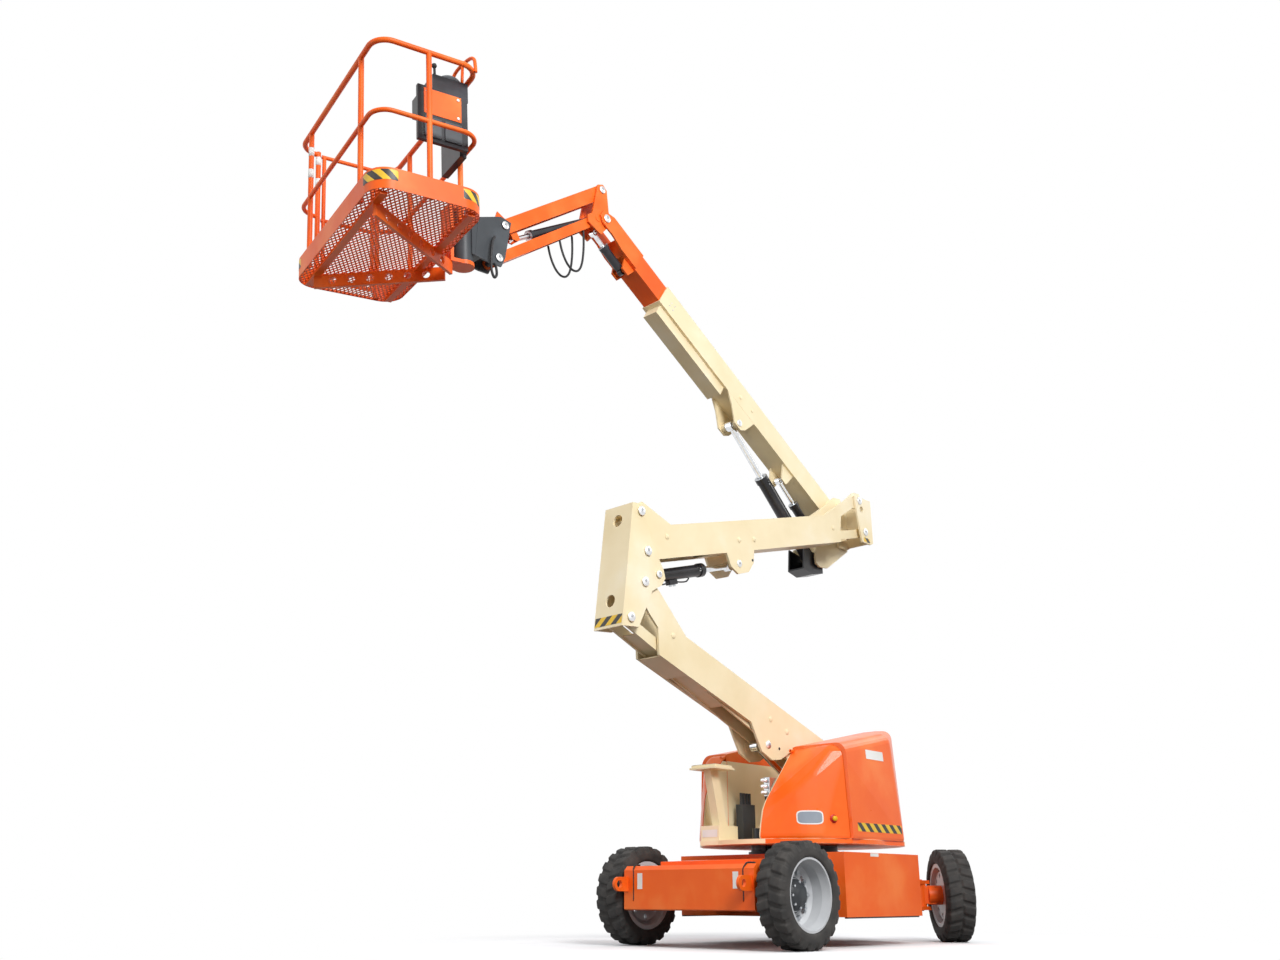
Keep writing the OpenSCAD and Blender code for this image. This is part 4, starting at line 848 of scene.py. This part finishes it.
class BOOMLIFT_OT_trim(bpy.types.Operator):
    """Adds the small fittings: post bands, edge strips, the rest's pad, beam rods and the hood's latch"""

    bl_idname = "boomlift.trim"
    bl_label = "Small fittings"

    def execute(self, context):
        # White bands on the post beside the gate and on the next post of the long side
        inset, r = 0.0236, 0.019
        posts = ((DECK_X0 + DECK_W - 0.180 + r, -DECK_L / 2 + inset, (0.800, 0.985)),
                 (DECK_X0 + DECK_W - inset, -0.32 * DECK_L, (0.700, 0.880)))
        band = [(r - 0.0002, 0), (r + FILM, 0), (r + FILM, 0.070), (r - 0.0002, 0.070)]
        bands = [lathe(band, (x, y, z), (0, 0, 1), 24) for x, y, heights in posts for z in heights]
        platform_piece("gate_post_bands", bands, "white")
        # Black strips under the box's sides, the pad on the boom rest
        strips = [box_part((-0.500, y - 0.013, 0.196), (0.465, y + 0.013, 0.2055)) for y in (0.768, -0.768)]
        put_mesh("chassis_edge_strips", *merged(strips), "chassis", "pad", smooth=False)
        rest = box_part((0.572, -0.383, 1.3095), (0.768, -0.157, 1.3125))
        put_mesh("rest_pad", *rest, "turntable", "pad", smooth=False)
        # Rods in the front beam's slots, bent over its top
        rods = []
        for s in (1, -1):
            bend = [(1.296, s * 0.515, 0.318), (1.296, s * 0.515, 0.420), (1.297, s * 0.515, 0.505),
                    (1.297, s * 0.518, 0.525), (1.284, s * 0.524, 0.549), (1.262, s * 0.530, 0.563),
                    (1.200, s * 0.545, 0.563)]
            rods.append(tube(catmull(bend, 6), 0.0058, 10))
        put_mesh("beam_rods", *merged(rods), "chassis", "pad")
        # Latch on the near hood: its place is thrown onto the hood
        a = math.radians(60)
        way = np.array([math.cos(a), math.sin(a), 0])
        spot = draped("hood_near", [(1.5 * way[0], 1.5 * way[1], 0.885)], -way, lift=-0.002)[0]
        plate = lathe([(0, 0), (0.030, 0), (0.030, 0.004), (0.027, 0.006), (0, 0.006)], spot, way, 28)
        put_mesh("hood_latch_plate", *plate, "hood_near", "red")
        knob = lathe([(0, 0.005), (0.013, 0.005), (0.013, 0.016), (0.019, 0.020), (0.019, 0.028),
                      (0.014, 0.033), (0, 0.034)], spot, way, 28)
        put_mesh("hood_latch_knob", *knob, "hood_near", "yellow")
        return {"FINISHED"}


class BOOMLIFT_OT_floor(bpy.types.Operator):
    """Weaves the platform's expanded-metal floor from two families of slanting strands"""

    bl_idname = "boomlift.floor"
    bl_label = "Platform floor"

    def execute(self, context):
        pitch, half_strand, inset = context.scene.boom_lift.mesh_pitch, 0.0045, 0.006
        lean, samples, depth = math.radians(28), 900, 0.005
        low = np.array([DECK_X0 + inset, -DECK_L / 2 + inset])
        high = np.array([DECK_X0 + DECK_W - inset, DECK_L / 2 - inset])
        r = CORNER_R - inset
        middle, reach = (low + high) / 2, np.linalg.norm(high - low) / 2
        run = np.linspace(-reach, reach, samples)
        parts = []
        for way in (1, -1):
            a = lean * way + math.pi / 2
            d, n = np.array([math.cos(a), math.sin(a)]), np.array([-math.sin(a), math.cos(a)])
            for step in np.arange(-reach, reach, pitch):
                line = middle + n * step + run[:, None] * d
                over = np.abs(line - middle) - (high - low) / 2 + r
                inside = (np.hypot(*np.maximum(over, 0).T) <= r) & (over.max(1) <= r)
                if inside.sum() < 3:
                    continue
                first, last = line[inside][0], line[inside][-1]
                w = n * half_strand
                # One family lies 1 mm higher than the other
                low_z = FLOOR_Z - (0.004 if way > 0 else 0.003)
                outline = np.array([first - w, last - w, last + w, first + w])
                parts.append(prism(outline, low_z, low_z + depth))
        platform_piece("expanded_metal_floor", parts, "orange", "frame_orange", replaces=["platform_floor"],
                       smooth=False)
        return {"FINISHED"}


def wall_grid(ring, z):
    """A line of (x, y) points repeated at each height."""
    rows = np.repeat(ring[None], len(z), 0)
    return np.concatenate([rows, np.repeat(z[:, None, None], len(ring), 1)], 2).reshape(-1, 3)


def level_grid(first, last, rows, columns):
    """A grid of points between two corners, columns along the level and rows up, and their uv in metres."""
    t = np.linspace(0, 1, columns)
    z = np.linspace(first[2], last[2], rows)
    corner, way = np.array(first[:2]), np.array(last[:2]) - np.array(first[:2])
    u, v = np.meshgrid(t * np.linalg.norm(way), z - z[0])
    return wall_grid(corner + t[:, None] * way, z), np.column_stack([u.ravel(), v.ravel()])


# Films: name, node, body, first and last corners, columns, throw direction, finish
FILMS = (
    ("tail_hazard_film", "tail_cover_near", "turntable",
     (0.20, 1.4, 0.800), (-0.42, 1.4, 0.862), 40, (0, -1, 0), "hazard"),
    ("tail_hazard_film_far", "tail_cover_far", "turntable",
     (-0.42, -1.4, 0.800), (0.20, -1.4, 0.862), 40, (0, 1, 0), "hazard"),
    ("upright_hazard_film", "upright", "upright",
     (3.0, 0.134, 2.155), (3.0, -0.134, 2.222), 8, (-1, 0, 0), "hazard"),
    ("tail_blank_label", "tail_cover_near", "turntable",
     (-0.02, 1.4, 1.345), (-0.28, 1.4, 1.415), 10, (0, -1, 0), "label"),
    ("beam_blank_plate_near", "chassis_frame", "chassis",
     (2.0, 0.475, 0.395), (2.0, 0.425, 0.505), 3, (-1, 0, 0), "label"),
    ("knuckle_hazard_film", "rear_knuckle", "rear_knuckle",
     (-1.105, 1.4, 3.452), (-1.205, 1.4, 3.492), 6, (0, -1, 0), "hazard"),
    ("far_inner_lining", "tail_cover_far", "turntable",
     (-0.600, 0.0, 0.765), (0.258, 0.0, 1.390), 6, (0, -1, 0), "cream"),
    ("rest_blank_plate", "boom_rest", "turntable",
     (2.0, -0.195, 0.772), (2.0, -0.345, 0.826), 3, (-1, 0, 0), "label"),
    ("chassis_white_tag", "chassis_frame", "chassis",
     (0.125, 1.4, 0.622), (0.015, 1.4, 0.645), 3, (0, -1, 0), "label"),
    ("beam_blank_plate_far", "chassis_frame", "chassis",
     (2.0, -0.425, 0.395), (2.0, -0.475, 0.505), 3, (-1, 0, 0), "label"),
)
FILM_ROWS = 6
# Blank badge on the near hood: name, half width, half height, stand-off and finish of its two layers
BADGE = (("hood_badge_rim", 0.100, 0.050, FILM, "white"),
         ("hood_badge_face", 0.091, 0.041, FILM + 0.001, "badge"))
# Where the badge is thrown from, and how square its outline is (1 is an ellipse, 0 an oblong)
BADGE_FROM, BADGE_SQUARE = np.array([1.08, 1.10, 0.893]), 0.45


def hood_badge(name, wide, tall, lift, finish):
    """A rounded oblong, x = wide |cos t|^e and z = tall |sin t|^e with their signs, filled by rings."""
    rings, steps = 8, 48
    t = np.linspace(0, 2 * np.pi, steps, endpoint=False)
    x, z = np.cos(t), np.sin(t)
    edge = np.column_stack([wide * np.sign(x) * np.abs(x) ** BADGE_SQUARE,
                            tall * np.sign(z) * np.abs(z) ** BADGE_SQUARE])
    flat = (np.linspace(0.02, 1, rings)[:, None, None] * edge).reshape(-1, 2)
    starts = BADGE_FROM + flat[:, :1] * np.array([-0.7071, 0.7071, 0]) + flat[:, 1:] * np.array([0, 0, 1.0])
    face = draped("hood_near", starts, (-1, -1, 0), lift)
    faces = grid_faces(rings, steps).tolist() + [list(range(steps))[::-1]]
    put_mesh(name, face, faces, "hood_near", finish)


def deck_edge_lip():
    """The hoods' orange lip over the near half of the deck's edge, thrown in towards the swing's axis."""
    rows, columns = 3, 60
    a = np.radians(np.linspace(20, 128, columns))
    z = np.linspace(0.7135, 0.7440, rows)
    ring = 1.4 * np.column_stack([np.cos(a), np.sin(a)])
    starts = wall_grid(ring, z)
    rim = draped("turntable_frame", starts, -starts * [1, 1, 0])
    put_mesh("deck_edge_lip", rim, grid_faces(rows, columns, wrap=False), "turntable", "cover")


def toe_hazard_film(number, front, near, from_angle):
    """Hazard film round one corner of the toe board: an arc that runs on along both sides."""
    rows, columns = 4, 30
    a = np.radians(np.linspace(from_angle - 12, from_angle + 102, columns))
    centre = np.array([DECK_X0 + (DECK_W - CORNER_R if front else CORNER_R),
                       (DECK_L / 2 - CORNER_R) * (1 if near else -1)])
    ring = centre + (CORNER_R + FILM) * np.column_stack([np.cos(a), np.sin(a)])
    ring = np.clip(ring, [DECK_X0 - FILM, -DECK_L / 2 - FILM], [DECK_X0 + DECK_W + FILM, DECK_L / 2 + FILM])
    z = np.linspace(FLOOR_Z + 0.052, FLOOR_Z + 0.125, rows)
    u, v = np.meshgrid(np.linspace(0, 0.30, columns), z)
    points, faces = on_platform(wall_grid(ring, z)), grid_faces(rows, columns, wrap=False)
    put_mesh(f"toe_hazard_film_{number}", points, faces, "platform", "hazard",
             uv=np.column_stack([u.ravel(), v.ravel()]))


class BOOMLIFT_OT_markings(bpy.types.Operator):
    """Lays the hazard film and the blank plates on the machine"""

    bl_idname = "boomlift.markings"
    bl_label = "Markings"

    def execute(self, context):
        for name, node, body, first, last, columns, way, finish in FILMS:
            starts, uv = level_grid(first, last, FILM_ROWS, columns)
            faces = grid_faces(FILM_ROWS, columns, wrap=False)
            put_mesh(name, draped(node, starts, way), faces, body, finish, uv=uv)
        for layer in BADGE:
            hood_badge(*layer)
        deck_edge_lip()
        for number, corner in enumerate(((1, 1, 0.0), (0, 1, 90.0), (0, 0, 180.0), (1, 0, 270.0))):
            toe_hazard_film(number, *corner)
        return {"FINISHED"}


class BOOMLIFT_OT_finishes(bpy.types.Operator):
    """Gives every CAD node its finish"""

    bl_idname = "boomlift.finishes"
    bl_label = "Finishes"

    def execute(self, context):
        for finish, names in NODE_FINISH.items():
            for name in names:
                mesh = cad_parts[name].data
                mesh.materials.clear()
                mesh.materials.append(FINISHES[finish])
        return {"FINISHED"}


class BOOMLIFT_PT_panel(bpy.types.Panel):
    """Lists the settings and the makers of the pieces"""

    bl_label = "Boom lift"
    bl_space_type = "VIEW_3D"
    bl_region_type = "UI"
    bl_category = "Boom lift"

    def draw(self, context):
        for name in BoomLiftLook.__annotations__:
            self.layout.prop(context.scene.boom_lift, name)
        for maker in MAKERS:
            self.layout.operator(maker.bl_idname)


MAKERS = (BOOMLIFT_OT_stage, BOOMLIFT_OT_hoses, BOOMLIFT_OT_finishes, BOOMLIFT_OT_tyres, BOOMLIFT_OT_hubs,
          BOOMLIFT_OT_pins, BOOMLIFT_OT_hydraulics, BOOMLIFT_OT_console, BOOMLIFT_OT_floor, BOOMLIFT_OT_trim,
          BOOMLIFT_OT_markings)
CLASSES = (BoomLiftLook,) + MAKERS + (BOOMLIFT_PT_panel,)


def register():
    """Registers the add-on's classes and its settings."""
    for each in CLASSES:
        bpy.utils.register_class(each)
    bpy.types.Scene.boom_lift = bpy.props.PointerProperty(type=BoomLiftLook)


def unregister():
    """Takes the add-on's classes and settings away again."""
    del bpy.types.Scene.boom_lift
    for each in reversed(CLASSES):
        bpy.utils.unregister_class(each)


def main():
    register()
    make_finishes()
    for maker in MAKERS:
        group, name = maker.bl_idname.split(".")
        getattr(getattr(bpy.ops, group), name)()
    bpy.context.view_layer.update()


if __name__ == "__main__":
    main()
